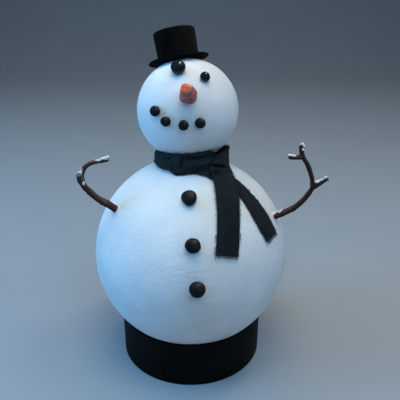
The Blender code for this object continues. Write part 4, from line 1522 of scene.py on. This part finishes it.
# %% [markdown]
# ### Frayed edges
# A torn strip frays all round: short threads along both sides, longer ones at the ends, where the
# lengthways threads come free. The edge of the cloth is a line that knows which way is out of the cloth,
# and a Geometry Nodes tree plants one bent thread at each step along it, turned and sized at random from
# a fixed seed.

# %% The tree for a frayed edge
tree, given, result = new_tree(
    "frayed edge",
    "GeometryNodeTree",
    {
        "Geometry": "Geometry",
        "Spacing": 0.0009,
        "Shortest": 0.0006,
        "Longest": 0.0018,
        "Thickness": 0.12,
        "Spread": 0.45,
        "Seed": 1,
        "Thread": "Material",
    },
    {"Geometry": "Geometry"},
)
edge_line = step(tree, "MeshToCurve", {"Mesh": given["Geometry"]})
steps = {"Curve": edge_line, "Length": given["Spacing"]}
steps = step(tree, "ResampleCurve", steps, mode="LENGTH")
bent = {"Resolution": 6, "Start": (0, 0, -0.15), "Middle": (0.28, 0.1, 0.5), "End": (-0.08, -0.05, 1.0)}
bent = step(tree, "CurveQuadraticBezier", bent)
section = {"Resolution": 5, "Radius": given["Thickness"]}
section = step(tree, "CurvePrimitiveCircle", section)
thread = {"Curve": bent, "Profile Curve": section, "Fill Caps": True}
thread = step(tree, "CurveToMesh", thread)


def at_random(low, high, number, kind="FLOAT"):
    """A random value for each thread, from the tree's seed. The node has a set of sockets for each kind."""
    first, output = (0, 0) if kind == "FLOAT_VECTOR" else (2, 1)
    inputs = {first: low, first + 1: high, "Seed": calculate(tree, "ADD", given["Seed"], float(number))}
    return node(tree, "FunctionNodeRandomValue", inputs, data_type=kind).outputs[output]


out_of_cloth = node(tree, "GeometryNodeInputNamedAttribute", {"Name": "outward"}, data_type="FLOAT_VECTOR")
aside = vectors(tree, "SCALE", at_random((-1, -1, -1), (1, 1, 1), 1, "FLOAT_VECTOR"), given["Spread"])
way = vectors(tree, "ADD", out_of_cloth.outputs[0], aside)
turned_out = node(tree, "FunctionNodeAlignRotationToVector", {"Vector": way}, axis="Z").outputs[0]
spin = node(tree, "ShaderNodeCombineXYZ", {2: at_random(0.0, 2 * pi, 2)}).outputs[0]
spun = node(tree, "FunctionNodeRotateRotation", {0: turned_out, 1: spin}, rotation_space="LOCAL").outputs[0]
length = at_random(given["Shortest"], given["Longest"], 3)
planted = {"Points": steps, "Instance": thread, "Rotation": spun, "Scale": length}
planted = step(tree, "InstanceOnPoints", planted)
real = step(tree, "RealizeInstances", {"Geometry": planted})
black = step(tree, "SetMaterial", {"Geometry": real, "Material": given["Thread"]})
tree.links.new(black, result["Geometry"])
frayed = tree
print("frayed edge:", len(tree.nodes), "nodes")


# %% Plant the threads
SIDE_FRAY = {"Spacing": 0.0010, "Shortest": 0.0008, "Longest": 0.0026, "Thickness": 0.1, "Spread": 0.7}
END_FRAY = {"Spacing": 0.0006, "Shortest": 0.0012, "Longest": 0.0036, "Thickness": 0.07, "Spread": 0.45}
# Edge: its line, the line two steps inside it, its fray
EDGES = {
    "lower": (cloth[:, 0], cloth[:, 2], SIDE_FRAY),
    "upper": (cloth[:, -1], cloth[:, -3], SIDE_FRAY),
    "side end": (cloth[0], cloth[2], END_FRAY),
    "front end": (cloth[-1], cloth[-3], END_FRAY),
}
work = bmesh.new()
for seed, (name, (line, inner, fray)) in enumerate(EDGES.items(), 5):
    mesh = bpy.data.meshes.new(name)
    mesh.from_pydata([tuple(point) for point in line], [(i, i + 1) for i in range(len(line) - 1)], [])
    store(mesh, "outward", unit(line - inner))
    threads = grow("fray " + name, frayed, {**fray, "Seed": seed, "Thread": loose_thread}, start=mesh)
    work.from_mesh(threads.data)
    bpy.data.objects.remove(threads)
scarf_fray = piece_of("scarf_fray", work)
scarf_fray.data.shade_smooth()
move_points(scarf_fray, off_the_balls(points_of(scarf_fray), 0.1 * MM))
set_on(scarf_fray, loose_thread, [])

# %% [markdown]
# ## Sizes, and finish
# The CAD box and the finished model's box are written side by side, so that a piece that has crept outside
# its solid is easy to notice.

# %% Write the two boxes and finish
finished_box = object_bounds()
boxes = {"cad": cad_box, "finished": finished_box}
boxes = {name: [list(map(float, corner)) for corner in box] for name, box in boxes.items()}
print(boxes)
